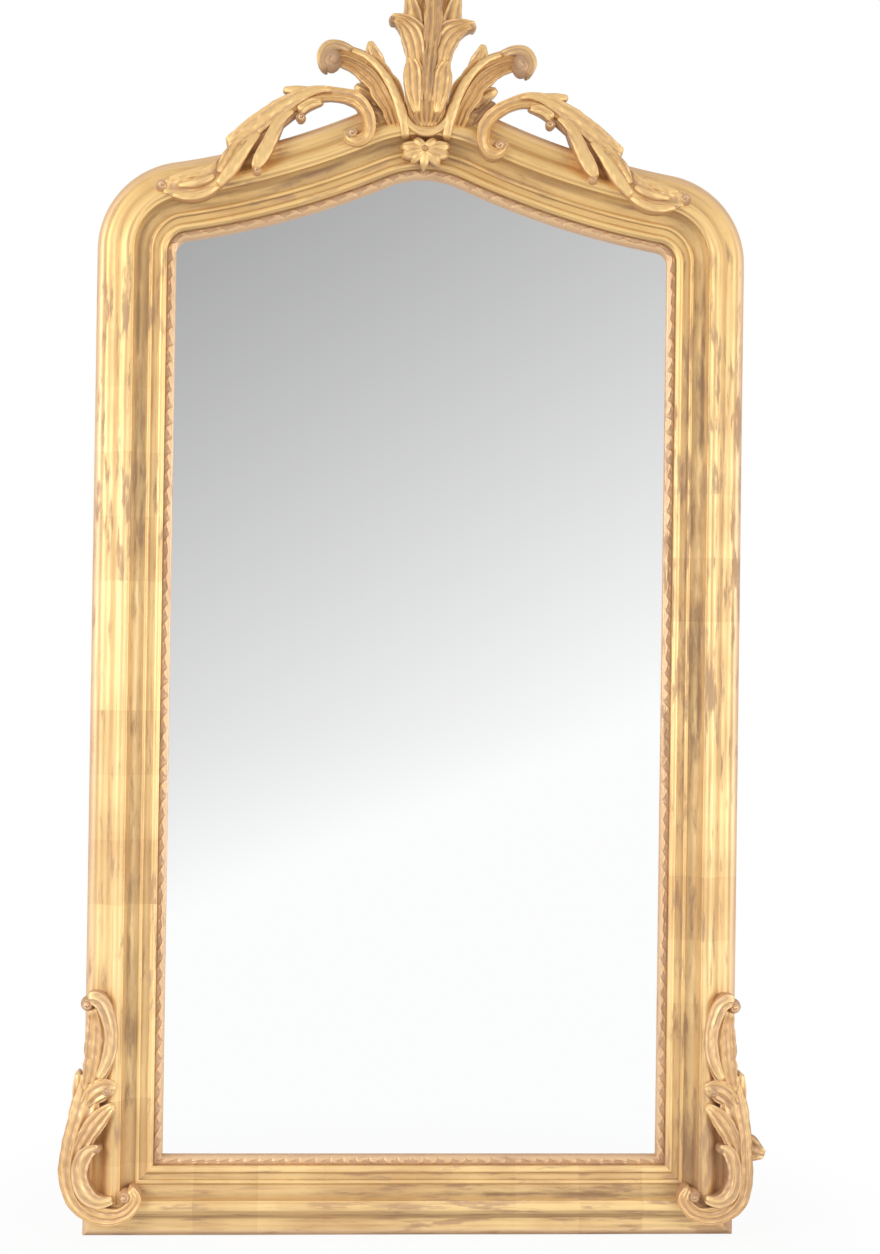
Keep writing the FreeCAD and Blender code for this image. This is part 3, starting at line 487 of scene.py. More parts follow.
# Relief compares each place with its neighbours; the finish darkens the low places with dirt and
# painted shade and lightens the high ones as a painted highlight. Dirt and painted shade lie
# thickest along the edge of the cove and less in the flat channel between the two small rolls.
narrow = section[:, 1:] - softened(section[:, 1:], section_at, 4.0)
broad = np.minimum(section[:, 1:] - softened(section[:, 1:], section_at, 13.0), 0)
dirt_and_shade_weight = (1 + 1.6 * np.exp(-((section[:, 0] - COVE_EDGE) / 3.0) ** 2)
           - 0.65 * np.exp(-((section[:, 0] - CHANNEL) / 4.5) ** 2))
section_relief = np.clip((narrow[:, 0] / 2.3 + broad[:, 0] / 12.0) * dirt_and_shade_weight, -1, 1)

# Three more points run back over the face towards the wall, which closes the loop.
back_run = np.array([22.0, 43.0, 64.0])
section = np.vstack([section, np.stack([back_run[::-1], np.full(3, WALL_SIDE)], -1)])
section_relief = np.r_[section_relief, np.zeros(3)]
section_at = np.r_[section_at, section_at[-1] + back_run]


def uneven(run, at):
    """Slow unevenness of hand-worked gesso, in millimetres: two crossed waves of different lengths."""
    return 0.16 * np.sin(run / 61.0 + at / 17.0) + 0.10 * np.sin(run / 23.0 - at / 9.0 + 1.3)


LEFT_MAP = 2600
FOOT_MAP = 6000
LEFT_WAVES = 500
FOOT_WAVES = 5200


def moulding(name, line, start, run, rows, mirrored=False):
    """The section carried along a line of the frame.

    Maps and waves of the left side and the foot start elsewhere, so that no two lengths match."""
    share = np.linspace(0, 1, rows)[:, None]
    across = section[None, :, 0] + 0 * share
    along = start + run * share + 0 * across
    proud_of_back = np.clip((section[:, 1] - WALL_SIDE) / 12, 0, 1)[None]
    waves = uneven(along + (LEFT_WAVES if mirrored else 0), section_at[None])
    depth = section[None, :, 1] + waves * proud_of_back
    points = np.stack(line(share, across, depth), -1)
    square = along
    if line is up_stile:
        square = points[..., 2]
    if line is along_foot:
        square = points[..., 0] + FOOT_MAP
    uv = np.stack([square + (LEFT_MAP if mirrored else 0), section_at[None] + 0 * along], -1)
    relief = section_relief[None] + 0 * along
    piece = loops_mesh(name + "_gilt", points, uv, relief, moulding_gilt, mirrored)
    on_frame(piece, name)


for hand in ("right", "left"):
    flip = hand == "left"
    moulding(f"moulding_stile_{hand}", up_stile, 0, STILE_RUN, rows=140, mirrored=flip)
    moulding(f"moulding_shoulder_{hand}", round_shoulder, STILE_RUN, SHOULDER_RUN, rows=60, mirrored=flip)
    moulding(f"moulding_arch_{hand}", over_arch, STILE_RUN + SHOULDER_RUN, ARCH_RUN,
             rows=101, mirrored=flip)
moulding("moulding_bottom", along_foot, FOOT_WAVES, 2 * FRAME_HALF, rows=100)


# Carved slips round the sight edge. A thin strip with a running wave of small leaves, cast in
# composition and gilded; it holds the plate from the front.
LEAF_PITCH = 22.0
LEAF_HEIGHT = 1.4
SLIP_WIDTH = 10.0
slip_gilt = gilding("slip_gilt", wear=0.42, laps=0.1, hollow_dirt_and_shade=0.34, blush=0.60, downward_shade=0.1)
slip_section, slip_at = section_line(SLIP_CORNERS, 0.6)
slip_section = softened(slip_section, slip_at, 0.4)
slip_front = np.clip((slip_section[:, 1] - WALL_SIDE - 0.5) / 4, 0, 1)
slip_wide = np.clip((slip_section[:, 0] - SECTION + SLIP_WIDTH) / SLIP_WIDTH, 0, 1)


def slip_leaves(run, wide):
    """Running wave of leaves, from 0 to about 1.

    The strip is raised on the plate's side of a leaning sine and falls to a recess on the other; a vein
    follows the wave and a berry lies in each recess. The swing drifts along the run."""
    place = run / LEAF_PITCH + 0.14 * np.sin(run / 53.0) + 0.08 * np.sin(run / 17.0)
    turn = 2 * np.pi * place
    swing = 0.25 * (1 + 0.35 * np.sin(run / 71.0) + 0.3 * np.sin(run / 19.0))
    edge = 0.38 + swing * np.sin(turn + 0.7 * np.sin(turn))
    leaf = np.clip((wide - edge) / 0.20, 0, 1)
    leaf = leaf * leaf * (3 - 2 * leaf) * (1 - 0.4 * np.clip((wide - 0.72) / 0.28, 0, 1) ** 2)
    vein = 0.35 * np.exp(-((wide - 0.5 * edge - 0.48) / 0.06) ** 2)
    berry = 0.75 * np.exp(-(((place - 0.2) % 1.0 - 0.5) / 0.12) ** 2 - ((wide - 0.2) / 0.16) ** 2)
    return np.maximum(leaf - vein, berry)


def slip(name, line, start, run, rows, mirrored=False):
    """The slip's section carried along a line, its front lifted by the leaves."""
    share = np.linspace(0, 1, rows)[:, None]
    along = start + run * share + 0 * slip_at[None]
    lift = slip_leaves(np.abs(along), slip_wide[None] + 0 * along) * slip_front[None]
    depth = slip_section[None, :, 1] + LEAF_HEIGHT * (lift - 0.55) * slip_front[None]
    across = slip_section[None, :, 0] + 0 * share
    points = np.stack(line(share, across, depth), -1)
    uv = np.stack([along + (LEFT_MAP if mirrored else 0), slip_at[None] + 0 * along], -1)
    # Recesses between the leaves take red ground and, through the finish, dirt and painted shade.
    relief = np.clip(2.2 * (lift - 0.5), -1, 1) * slip_front[None]
    piece = loops_mesh(name + "_gilt", points, uv, relief, slip_gilt, mirrored)
    on_frame(piece, name)


for hand in ("right", "left"):
    flip = hand == "left"
    slip(f"slip_stile_{hand}", up_stile, 0, STILE_RUN, rows=900, mirrored=flip)
    slip(f"slip_top_{hand}", over_top, STILE_RUN, SHOULDER_RADIUS + ARCH_RUN, rows=420, mirrored=flip)
slip("slip_bottom", along_foot, -FRAME_HALF, 2 * FRAME_HALF, rows=600)


# Plate. Clear glass cut to the arch and silvered on its back; it lies in the rebate against
# the slips. Age has left the silver a little cloudy in patches.
plate_finish, plate_tree, plate_shader = finish_material("silvered_glass", metallic=1.0)
plate_shader.inputs["Base Color"].default_value = (0.975, 0.98, 0.98, 1.0)
bloom = noise(plate_tree, object_place(plate_tree), 30.0, 4.0)
cloudy = ramp(plate_tree, bloom, 0.3, 0.8, 0.012, 0.03)
plate_tree.links.new(cloudy, plate_shader.inputs["Roughness"])
dress(plate_finish, "mirror_plate")


# Back boards. Five rough pine planks laid level in the rebate and held by cut nails; each has
# its own grain and tone, and the dark line between two is the gap left for the wood to move.
PLANK_GRAIN_AND_SHADE = ((0.0, 0.10), (0.73, 0.30), (1.61, 0.0), (2.42, 0.22), (3.17, 0.12))
for number, (seed, shade) in enumerate(PLANK_GRAIN_AND_SHADE, 1):
    plank = f"back_board_{number}"
    heights = [corner[2] for corner in nodes[plank].bound_box]
    dress(pine(plank + "_pine", LEVEL, False, seed, shade, (min(heights), max(heights))), plank)


# Nails of the boards, screws of the hangers and the bar behind the crest, which is screwed to its
# block and holds the plume upright: dark iron and steel with patches of brown rust.
def metal(name, bright, dark, scale, rough_low, rough_high, metallic):
    """Bare metal that has dulled in patches."""
    material, tree, shader = finish_material(name, metallic=metallic)
    patch = noise(tree, object_place(tree), scale, 5.0)
    level = ramp(tree, patch, 0.4, 0.66)
    tree.links.new(colour_mix(tree, level, bright, dark), shader.inputs["Base Color"])
    tree.links.new(ramp(tree, level, 0.0, 1.0, rough_low, rough_high), shader.inputs["Roughness"])
    bumped(tree, shader, patch, distance=0.0004, strength=0.3)
    return material


iron = metal("rusted_iron", (0.15, 0.125, 0.105), (0.14, 0.062, 0.030), scale=70.0,
             rough_low=0.42, rough_high=0.8, metallic=0.8)
dress(iron, "board_nails", "crest_bar", "crest_bar_screws", "hanger_screws")


# Hangers. Brass strip folded round a loop and screwed in a shallow recess behind each stile; a
# D-shaped ring of brass wire swings in the loop, its two ends meeting inside it.
brass = metal("dull_brass", (0.52, 0.34, 0.12), (0.22, 0.145, 0.06), scale=120.0,
              rough_low=0.28, rough_high=0.55, metallic=1.0)
HANGER = np.array([371.0, -4.7, 1090.0])
STRAP_HALF = 10.0
STRAP_DROP = 56.0
LOOP_OUTSIDE = 3.3
LOOP_INSIDE = 2.12
LEG_INSIDE = 0.9
outer = np.radians(np.linspace(180, -105, 60))
inner = np.radians(np.linspace(-105, 245, 60))
fold = np.vstack([[(-LOOP_OUTSIDE, -STRAP_DROP)],
                  LOOP_OUTSIDE * np.stack([np.cos(outer), np.sin(outer)], -1),
                  LOOP_INSIDE * np.stack([np.cos(inner), np.sin(inner)], -1),
                  [(-LEG_INSIDE, -STRAP_DROP)]])
strap = np.stack([np.stack([np.full(len(fold), edge), fold[:, 0], fold[:, 1]], -1)
                  for edge in (-STRAP_HALF, STRAP_HALF)]) + HANGER
WIRE, BOW, ARM, BEND = 2.0, 17.0, 12.0, 4.0
turn = np.radians(np.linspace(90, 0, 12))
shoulder = np.stack([BOW - BEND + BEND * np.cos(turn), -BEND + BEND * np.sin(turn)], -1)
sweep = np.radians(np.linspace(0, -90, 30))
half_ring = np.vstack([np.stack([np.linspace(0, BOW - BEND, 8)[:-1], np.zeros(7)], -1), shoulder,
                       np.stack([BOW * np.cos(sweep), -ARM + BOW * np.sin(sweep)], -1)])
bent = np.vstack([half_ring, half_ring[-2::-1] * (-1, 1)])
heading = np.gradient(bent, axis=0)
heading /= np.linalg.norm(heading, axis=1, keepdims=True)
round_wire = np.linspace(0, 2 * np.pi, 24, endpoint=False)[None]
tilt = math.radians(4.0)
wire_x = bent[:, :1] - heading[:, 1:] * WIRE * np.cos(round_wire)
wire_z = bent[:, 1:] + heading[:, :1] * WIRE * np.cos(round_wire)
wire_y = WIRE * np.sin(round_wire) + 0 * wire_x
ring = np.stack([wire_x, wire_y * math.cos(tilt) - wire_z * math.sin(tilt),
                 wire_y * math.sin(tilt) + wire_z * math.cos(tilt)], -1) + HANGER
for hand in ("right", "left"):
    flip = hand == "left"
    piece = loops_mesh(f"hanger_strap_{hand}_brass", strap, strap[..., :2], 0 * strap[..., 0], brass, flip)
    on_frame(piece, f"hanger_strap_{hand}")
    piece = loops_mesh(f"hanger_ring_{hand}_brass", ring, ring[..., :2], 0 * ring[..., 0], brass, flip)
    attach(piece, f"ring_{hand}")
    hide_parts(f"hanger_ring_{hand}")


# Carved ornament. Acanthus plume, leaves, scrolls and corner leaves, cut in limewood and
# gilded over gesso; each is pinned and glued over the mouldings. The grooves hold dirt and
# painted shade, darkest at the edges and over the backs, the ridges are rubbed, and the red
# ground shows through as a pinkish brown.
ornament_gilt = gilding("ornament_gilt", wear=0.47, laps=0.1, hollow_dirt_and_shade=0.60, blush=0.6, downward_shade=0.2)


def eased(stations, rows):
    """Natural cubic through the stations by their distance apart, read at even steps."""
    stations = np.asarray(stations, float)
    knots = np.r_[0, np.cumsum(np.hypot(*np.diff(stations[:, :2], axis=0).T))]
    span = np.diff(knots)
    count = len(knots)
    inner = np.arange(1, count - 1)
    system = np.eye(count)
    system[inner, inner - 1] = span[:-1]
    system[inner, inner] = 2 * (span[:-1] + span[1:])
    system[inner, inner + 1] = span[1:]
    slope = np.diff(stations, axis=0) / span[:, None]
    target = np.zeros_like(stations)
    target[1:-1] = 6 * np.diff(slope, axis=0)
    bend = np.linalg.solve(system, target)
    at = np.linspace(0, knots[-1], rows)
    piece = np.clip(np.searchsorted(knots, at, side="right") - 1, 0, count - 2)
    width = span[piece][:, None]
    before = (knots[piece + 1] - at)[:, None] / width
    after = (at - knots[piece])[:, None] / width
    cubic = (before ** 3 - before) * bend[piece] + (after ** 3 - after) * bend[piece + 1]
    return at, before * stations[piece] + after * stations[piece + 1] + cubic * width ** 2 / 6


def strand(stations, flutes=2, cut=2.8, crown=0.42, shift=0.0, lobes=(0, 0.0), nose=5.0, rub=0.0):
    """Carved strand or leaf as closed loops: a rounded rib along a smooth line, its front cut by flutes.

    A station is x, z, half width, depth of the back and depth of the crest. Across, s runs from -1 to 1
    and the front lies at crest - dome * (0.65 s^2 + 0.35 s^8) less cut times |sin| of the flute count times
    s, so that sharp ridges stand between round flutes. Lobes let the edges out and in along the length."""
    length = np.hypot(*np.diff(np.asarray(stations, float)[:, :2], axis=0).T).sum()
    rows = int(np.clip(length / 1.3, 28, 420))
    columns = 20 + int(14 * max(flutes, 1))
    at, line = eased(stations, rows)
    x, z, half, back, crest = (column[:, None] for column in line.T)
    phase = 0.37 * stations[0][0] + 0.11 * stations[0][1]
    waver = 1 + 0.025 * np.sin(at / 6.1 + phase) + 0.015 * np.sin(at / 2.7 + 2 * phase)
    half = np.maximum(half * waver[:, None], 0.6)
    along = np.gradient(line[:, :2], at, axis=0)
    along /= np.linalg.norm(along, axis=1, keepdims=True)
    to_end = np.minimum(at, at[-1] - at)
    tip = np.maximum(np.sqrt(np.clip(1 - (1 - np.clip(to_end / nose, 0, 1)) ** 2, 0, 1)), 0.12)[:, None]
    s = np.sin(np.linspace(-np.pi / 2, np.pi / 2, columns))[None]
    dome = np.minimum(crown * 1.5 * half, crown * (crest - back))
    step = (lobes[0] * at[:, None] / at[-1]) % 1.0
    scallop = np.sin(np.pi * step ** 1.6) ** 0.7 if lobes[0] else np.ones((rows, 1))
    notch = lobes[1] * (1 - scallop)
    groove = np.abs(np.sin(np.pi * flutes * (s + shift) / 2)) if flutes else 0 * s
    fade = np.clip(to_end / 12.0, 0, 1)[:, None] * np.clip(half / 9.0, 0.35, 1.25) * (1 - s ** 8)
    front = crest - dome * (0.65 * s ** 2 + 0.35 * s ** 8) - cut * groove * fade
    tool = (0.28 * np.sin(at[:, None] / 3.9 + 2.3 * s + phase)
            + 0.2 * np.sin(at[:, None] / 2.2 - 4.1 * s + 2 * phase))
    front = front - 9.0 * notch * s ** 2 + tool * np.clip(half / 8.0, 0.3, 1.2)
    front = back + (front - back) * (0.5 + 0.5 * tip)
    reach = half * tip * (1 - notch)
    wide = reach * s
    under = np.array([[0.90, 0.74, 0.0, -0.74, -0.90]])
    loop_wide = np.hstack([wide, reach * under])
    loop_deep = np.hstack([front, back + (front[:, -1:] - back) * np.array([[0.45, 0, 0, 0, 0.45]])])
    px = x + along[:, 1:] * loop_wide
    pz = z - along[:, :1] * loop_wide
    dip = groove * np.minimum(fade, 1) * min(1.0, cut / 2.0)
    # Relief sinks in the flutes, at the edges and over the back walls, which the finish darkens with dirt
    # and painted shade.
    relief = np.clip(0.75 - 1.6 * dip ** 4 - 0.9 * s ** 10 - 2.0 * notch * s ** 4, -1, 1)
    relief = np.hstack([relief + 0 * px[:, :columns], -np.ones((rows, 5))])
    uv = np.stack([at[:, None] + 0 * px, 2.4 * loop_wide + 140], -1)
    return np.stack([px, -loop_deep, pz], -1), uv, relief, rub


def bud(x, z, radius, back, crest, turns=1.4, cut=2.0, rub=0.12, tall=1.0):
    """Rolled tip or eye of a scroll: a ball flattened to the wall with a spiral groove.

    Rows climb from the back edge over the rim to the middle as a quarter circle; the groove lies where
    the sine of the turn plus the winding is zero."""
    climb = np.linspace(0, 1, 26)[:, None]
    turn = np.linspace(0, 2 * np.pi, 44, endpoint=False)[None]
    over = np.clip((climb - 0.25) / 0.75, 0, 1) * np.pi / 2
    reach = np.maximum(np.where(climb < 0.25, 0.8 + 0.2 * climb / 0.25, np.cos(over)), 0.03)
    rise = np.where(climb < 0.25, 0.45 * climb / 0.25, 0.45 + 0.55 * np.sin(over))
    wound = np.abs(np.sin(np.pi * turns * reach + turn / 2))
    groove = (1 - wound) ** 2 * np.clip((1 - reach) / 0.1, 0, 1)
    depth = back + (crest - back) * rise - cut * groove
    points = np.stack([x + radius * reach * np.cos(turn), -depth,
                       z + tall * radius * reach * np.sin(turn)], -1)
    uv = np.stack([radius * turn + 0 * reach, radius * reach + 0 * turn], -1)
    # Relief sinks in the spiral groove and round the foot of the ball, which the finish darkens with dirt
    # and painted shade.
    return points, uv, np.clip(0.6 - 1.7 * groove - 1.5 * (climb < 0.2), -1, 1), rub


SHELL_MAP = 130.0


def carved(name, loops, mirrored=False, lean=None, finish=ornament_gilt):
    """One ornament from several closed shells, kept in one mesh; lean shifts its points a little."""
    place, faces, maps, reliefs, rubs = [], [], [], [], []
    count = 0
    for points, uv, relief, rub in loops:
        rows, columns = points.shape[:2]
        faces += loop_faces(rows, columns, count)
        place.append(points.reshape(-1, 3))
        maps.append(uv.reshape(-1, 2) + (len(place) * SHELL_MAP, 0.0))
        reliefs.append(relief.reshape(-1))
        rubs.append(np.full(rows * columns, rub))
        count += rows * columns
    place = np.vstack(place)
    if lean is not None:
        place += lean(place)
    mesh = placed_mesh(name, place, faces, mirrored)
    piece = dressed_mesh(name + "_gilt", mesh, np.vstack(maps), np.hstack(reliefs), finish, np.hstack(rubs))
    on_frame(piece, name)


# Plume: a reeded cup in a rim, a stalk that rises out of it and a fan of leaves behind, two of
# them turning out at their tips.
carved("crest_plume", [
    strand([(0, 1425, 25, 18, 52), (1, 1456, 29, 18, 57), (4, 1488, 30, 18, 55), (7, 1516, 31, 18, 51),
            (8, 1544, 28, 19, 47), (9, 1568, 19, 22, 41), (9, 1588, 4, 26, 34)],
           flutes=7, cut=2.4, crown=0.2, lobes=(4, 0.12)),
    strand([(-13, 1470, 6, 20, 50), (-16, 1498, 11, 20, 56), (-19, 1525, 11, 20, 55),
            (-25, 1556, 3, 24, 47)], flutes=2, crown=0.25, nose=3.0),
    strand([(23, 1470, 6, 20, 50), (27, 1498, 11, 20, 56), (32, 1525, 11, 20, 55), (39, 1556, 3, 24, 47)],
           flutes=2, crown=0.25, nose=3.0),
    strand([(0, 1378, 9, 20, 58), (0, 1390, 19, 20, 64), (0, 1405, 25, 20, 68), (0, 1424, 27, 20, 67),
            (1, 1442, 26, 20, 62), (1, 1460, 22, 20, 54)], flutes=7, cut=3.4, crown=0.3, rub=0.1),
    strand([(-6, 1440, 9, 20, 58), (-11, 1464, 15, 20, 65), (-14, 1485, 17, 20, 66),
            (-22, 1503, 15, 22, 64), (-35, 1514, 8, 28, 60), (-47, 1518, 3, 32, 57)],
           flutes=4, cut=2.4, crown=0.2, nose=4.0, rub=0.04),
    bud(-43, 1515, 5.5, 34, 60, rub=0.2),
    strand([(9, 1438, 9, 20, 58), (14, 1462, 15, 20, 65), (19, 1484, 17, 20, 66), (31, 1501, 15, 22, 64),
            (47, 1509, 8, 28, 60), (61, 1511, 3, 32, 57)],
           flutes=4, cut=2.4, crown=0.2, nose=4.0, rub=0.04),
    bud(56, 1509, 5.5, 34, 60, rub=0.2),
    strand([(1, 1396, 3, 20, 60), (1, 1425, 8, 20, 70), (2, 1456, 9, 20, 68), (4, 1476, 10, 20, 68),
            (6, 1500, 12, 20, 68), (7, 1530, 12, 20, 63), (8, 1558, 9, 22, 54), (8, 1582, 3, 26, 42)],
           flutes=3, cut=3.0, crown=0.25, lobes=(7, 0.14), rub=0.26),
    strand([(-11, 1394, 4, 22, 64), (-15, 1416, 10, 22, 70), (-17, 1440, 13, 22, 69),
            (-19, 1458, 9, 22, 66), (-24, 1469, 3, 24, 61)], flutes=3, cut=2.4, crown=0.2, nose=4.0),
    strand([(11, 1394, 4, 22, 64), (15, 1414, 10, 22, 70), (18, 1438, 13, 22, 69), (21, 1455, 9, 22, 66),
            (27, 1466, 3, 24, 61)], flutes=3, cut=2.4, crown=0.2, nose=4.0),
    strand([(-31, 1410, 2.5, 24, 56), (-26, 1391, 4, 24, 60), (-14, 1378, 4.5, 24, 61),
            (0, 1374, 5, 24, 61), (14, 1378, 4.5, 24, 61), (26, 1391, 4, 24, 60), (31, 1410, 2.5, 24, 56)],
           flutes=1, cut=2.0, shift=1.0),
])


# Flower over the joint of the arch mouldings, glued on: leaves to both sides like a bow, a drop
# below and a small round eye. A leaf is given by where its tip lies from the middle and its half width.
FLOWER_X, FLOWER_Z = -1, 1354
FLOWER_LEAVES = ((-31, 4, 7), (32, 6, 7), (-29, -8, 8), (31, -6, 9), (-17, -16, 6), (19, -19, 7),
                 (-1, -24, 6), (-15, 14, 6), (15, 14, 6))
carved("crest_floret", [
    strand([(FLOWER_X, FLOWER_Z, 5, 30, 57), (FLOWER_X + 0.6 * out, FLOWER_Z + 0.6 * up, half, 28, 58),
            (FLOWER_X + out, FLOWER_Z + up, 2.5, 28, 53)], flutes=2, cut=2.0)
    for out, up, half in FLOWER_LEAVES] + [bud(FLOWER_X, FLOWER_Z + 1, 5.0, 34, 61)])


# Side leaves of the crest and the scrolls beyond them come in pairs, pinned to the arch. The
# scrolls were cut by eye, so their volutes do not lie at quite the same height.
CREST_LEAF = [
    strand([(40, 1368, 9, 24, 40), (57, 1386, 16, 24, 46), (73, 1404, 15, 24, 46), (87, 1420, 5, 26, 40)],
           flutes=3, lobes=(3, 0.2), rub=0.6),
    strand([(31, 1370, 10, 20, 55), (39, 1400, 16, 20, 57), (54, 1433, 20, 20, 55), (69, 1452, 19, 20, 52),
            (86, 1463, 17, 22, 50), (105, 1469, 13, 26, 50), (119, 1468, 10, 30, 49)],
           flutes=5, cut=3.4, crown=0.15, lobes=(4, 0.08)),
    strand([(25, 1366, 5, 22, 57), (28, 1384, 6, 22, 61), (33, 1403, 6.5, 22, 62), (42, 1427, 6, 22, 60),
            (57, 1451, 5, 22, 56), (75, 1468, 4, 22, 53), (96, 1477, 2.5, 22, 49)],
           flutes=0, crown=0.35),
    strand([(60, 1444, 11, 22, 44), (65, 1464, 12, 22, 50), (69, 1479, 8, 22, 49), (71, 1491, 2, 26, 45)],
           flutes=2, cut=2.6, crown=0.2, nose=3.0),
    strand([(56, 1414, 9, 20, 38), (74, 1426, 10, 20, 45), (90, 1435, 3, 26, 41)],
           flutes=2, crown=0.25, nose=3.0, rub=0.2),
    strand([(90, 1476, 4, 24, 44), (106, 1481, 6, 26, 52), (120, 1480, 7, 28, 56), (130, 1471, 6, 28, 57),
            (131, 1459, 5, 28, 56), (124, 1450, 3, 30, 52)], flutes=0, crown=0.25, rub=0.38),
    bud(119, 1465, 13.0, 30, 58, turns=0.6, cut=1.4, rub=0.55, tall=1.3),
]
CREST_SCROLL = [
    strand([(97, 1372, 3.5, 34, 58), (97, 1360, 5.5, 32, 63), (85, 1354, 7, 32, 67),
            (74, 1361, 7.5, 32, 67), (71, 1378, 8, 32, 65), (76, 1395, 8.5, 32, 60),
            (89, 1409, 8.5, 32, 56), (108, 1417, 8.5, 34, 53), (132, 1419, 8.5, 34, 53),
            (156, 1412, 9, 34, 53), (178, 1398, 9, 30, 51), (196, 1381, 7, 26, 47),
            (208, 1366, 4, 24, 42)], flutes=1.5, cut=4.6, crown=0.12, shift=1.0),
    bud(92, 1364, 9.0, 38, 68),
    strand([(104, 1424, 2.5, 34, 44), (132, 1425, 4.5, 34, 54), (160, 1415, 8, 32, 55),
            (192, 1394, 11, 28, 56), (219, 1373, 11.5, 24, 55), (237, 1361, 9, 24, 53),
            (248, 1356, 6, 26, 49)], flutes=2, cut=1.7, crown=0.12, nose=3.0),
    strand([(142, 1410, 4, 32, 46), (184, 1382, 7, 28, 48), (212, 1360, 12, 26, 53),
            (236, 1345, 11, 26, 55)], flutes=0, rub=1.0),
    strand([(205, 1371, 3, 24, 54), (217, 1354, 5, 24, 63), (229, 1336, 6.5, 26, 67),
            (243, 1316, 7.5, 28, 70), (258, 1298, 4, 30, 69)], flutes=0, crown=0.3),
    strand([(164, 1401, 3, 32, 50), (178, 1389, 6, 28, 56), (187, 1373, 7.5, 24, 61),
            (195, 1354, 8.5, 24, 65), (204, 1336, 8.5, 26, 68), (213, 1320, 4, 28, 68)],
           flutes=0, crown=0.16, nose=4.0),
    strand([(226, 1364, 4, 24, 52), (238, 1347, 7, 24, 60), (248, 1330, 7, 26, 66), (256, 1313, 3, 28, 68)],
           flutes=2, cut=2.8, crown=0.2, nose=3.0, rub=0.1),
    bud(209, 1320, 7.0, 34, 70),
    strand([(118, 1424, 3, 34, 46), (150, 1423, 6, 34, 53), (168, 1424, 5, 32, 52),
            (179, 1426, 2.5, 32, 47)], flutes=0, crown=0.25, nose=2.5),
    strand([(128, 1411, 3, 34, 50), (146, 1406, 6, 32, 56), (159, 1396, 6, 34, 55)],
           flutes=2, crown=0.25, rub=0.14),
    bud(156, 1390, 6.5, 36, 55),
    strand([(238, 1340, 6, 28, 58), (260, 1315, 13, 28, 67), (283, 1301, 15, 28, 68),
            (306, 1297, 13, 28, 66), (326, 1297, 6, 28, 62)],
           flutes=1, cut=4.0, crown=0.15, shift=1.0, rub=0.1),
    strand([(258, 1314, 3, 28, 64), (272, 1305, 5, 28, 69.5), (290, 1300, 5, 28, 69.5),
            (308, 1298, 2, 28, 64)], flutes=0),
    strand([(250, 1306, 3, 28, 60), (268, 1292, 5, 28, 68), (292, 1285, 5, 28, 68), (314, 1288, 3, 28, 64)],
           flutes=2, cut=1.6, nose=3.0),
    strand([(256, 1330, 3, 28, 58), (276, 1318, 5, 28, 66), (298, 1311, 5, 28, 66), (318, 1307, 3, 28, 62)],
           flutes=2, cut=1.6, nose=3.0),
    bud(325, 1299, 9.5, 28, 67, rub=0.2),
]


def higher(by):
    """The volute of a crest scroll raised: a bell round x = 80."""
    return lambda place: np.outer(by * np.exp(-((place[:, 0] - 80) / 30) ** 2), (0, 0, 1))


carved("crest_leaf_right", CREST_LEAF)
carved("crest_leaf_left", CREST_LEAF, True)
carved("crest_scroll_right", CREST_SCROLL, False, higher(-6.0))
carved("crest_scroll_left", CREST_SCROLL, True, higher(6.0))


# Corner leaves, one up each stile from its foot, pinned and glued over the mitre. Only the right
# one has kept the spur that stands out from its belly, and it was cut slimmer there.
CORNER_SCROLL = [
    strand([(398, 178, 10, 22, 58), (390, 206, 16, 22, 62), (385, 236, 19, 22, 64), (385, 264, 17, 22, 64),
            (391, 288, 9, 22, 62)], flutes=4, cut=2.6, crown=0.15, lobes=(5, 0.06)),
    strand([(388, 196, 4, 22, 60), (374, 226, 8, 22, 66), (371, 256, 8, 22, 68), (377, 281, 9, 24, 69),
            (389, 297, 9, 26, 68), (402, 297, 7, 28, 64)], flutes=2, cut=2.4, crown=0.25, rub=0.2),
    bud(401, 289, 9.5, 26, 66, rub=0.3),
    strand([(398, 206, 8, 22, 57), (402, 166, 17, 22, 61), (411, 134, 15, 22, 62), (417, 104, 15, 22, 62),
            (418, 78, 15, 22, 62), (410, 52, 14, 22, 63), (393, 36, 12, 22, 66), (370, 31, 10.5, 24, 69),
            (348, 38, 9, 26, 69), (339, 54, 7.5, 28, 67), (347, 66, 5, 30, 64)],
           flutes=3, cut=2.8, crown=0.15),
    strand([(382, 115, 3, 28, 64), (395, 111, 8, 26, 67), (405, 97, 10, 24, 67), (407, 78, 10, 24, 67),
            (399, 59, 10, 26, 68), (383, 49, 8, 28, 68), (364, 52, 4, 30, 64)],
           flutes=2, cut=2.8, crown=0.2),
    bud(387, 112, 6.5, 26, 68, rub=0.3),
    bud(352, 54, 8.5, 34, 71),
    strand([(366, 168, 4, 30, 63), (382, 153, 11, 26, 66), (398, 131, 12, 22, 65), (411, 104, 9, 22, 62),
            (417, 82, 3, 22, 56)], flutes=3, cut=2.6, crown=0.2),
    strand([(362, 186, 5, 30, 60), (376, 187, 12, 26, 64), (392, 179, 13, 24, 63), (404, 162, 6, 22, 58)],
           flutes=3, crown=0.25, rub=0.2),
    bud(376, 184, 9.0, 28, 67, rub=0.35),
    strand([(404, 150, 8, 22, 54), (409, 180, 9, 22, 57), (413, 205, 3, 28, 52)],
           flutes=2, crown=0.2, nose=3.0),
]
CORNER_SPUR = [
    strand([(404, 116, 14, 22, 46), (424, 112, 18, 22, 53), (438, 107, 12, 24, 55), (450, 103, 4, 28, 51)],
           flutes=3, crown=0.15, nose=2.0),
]
corner_gilt = gilding("corner_gilt", wear=0.36, laps=0.1, hollow_dirt_and_shade=0.15, blush=0.75, downward_shade=0.05)


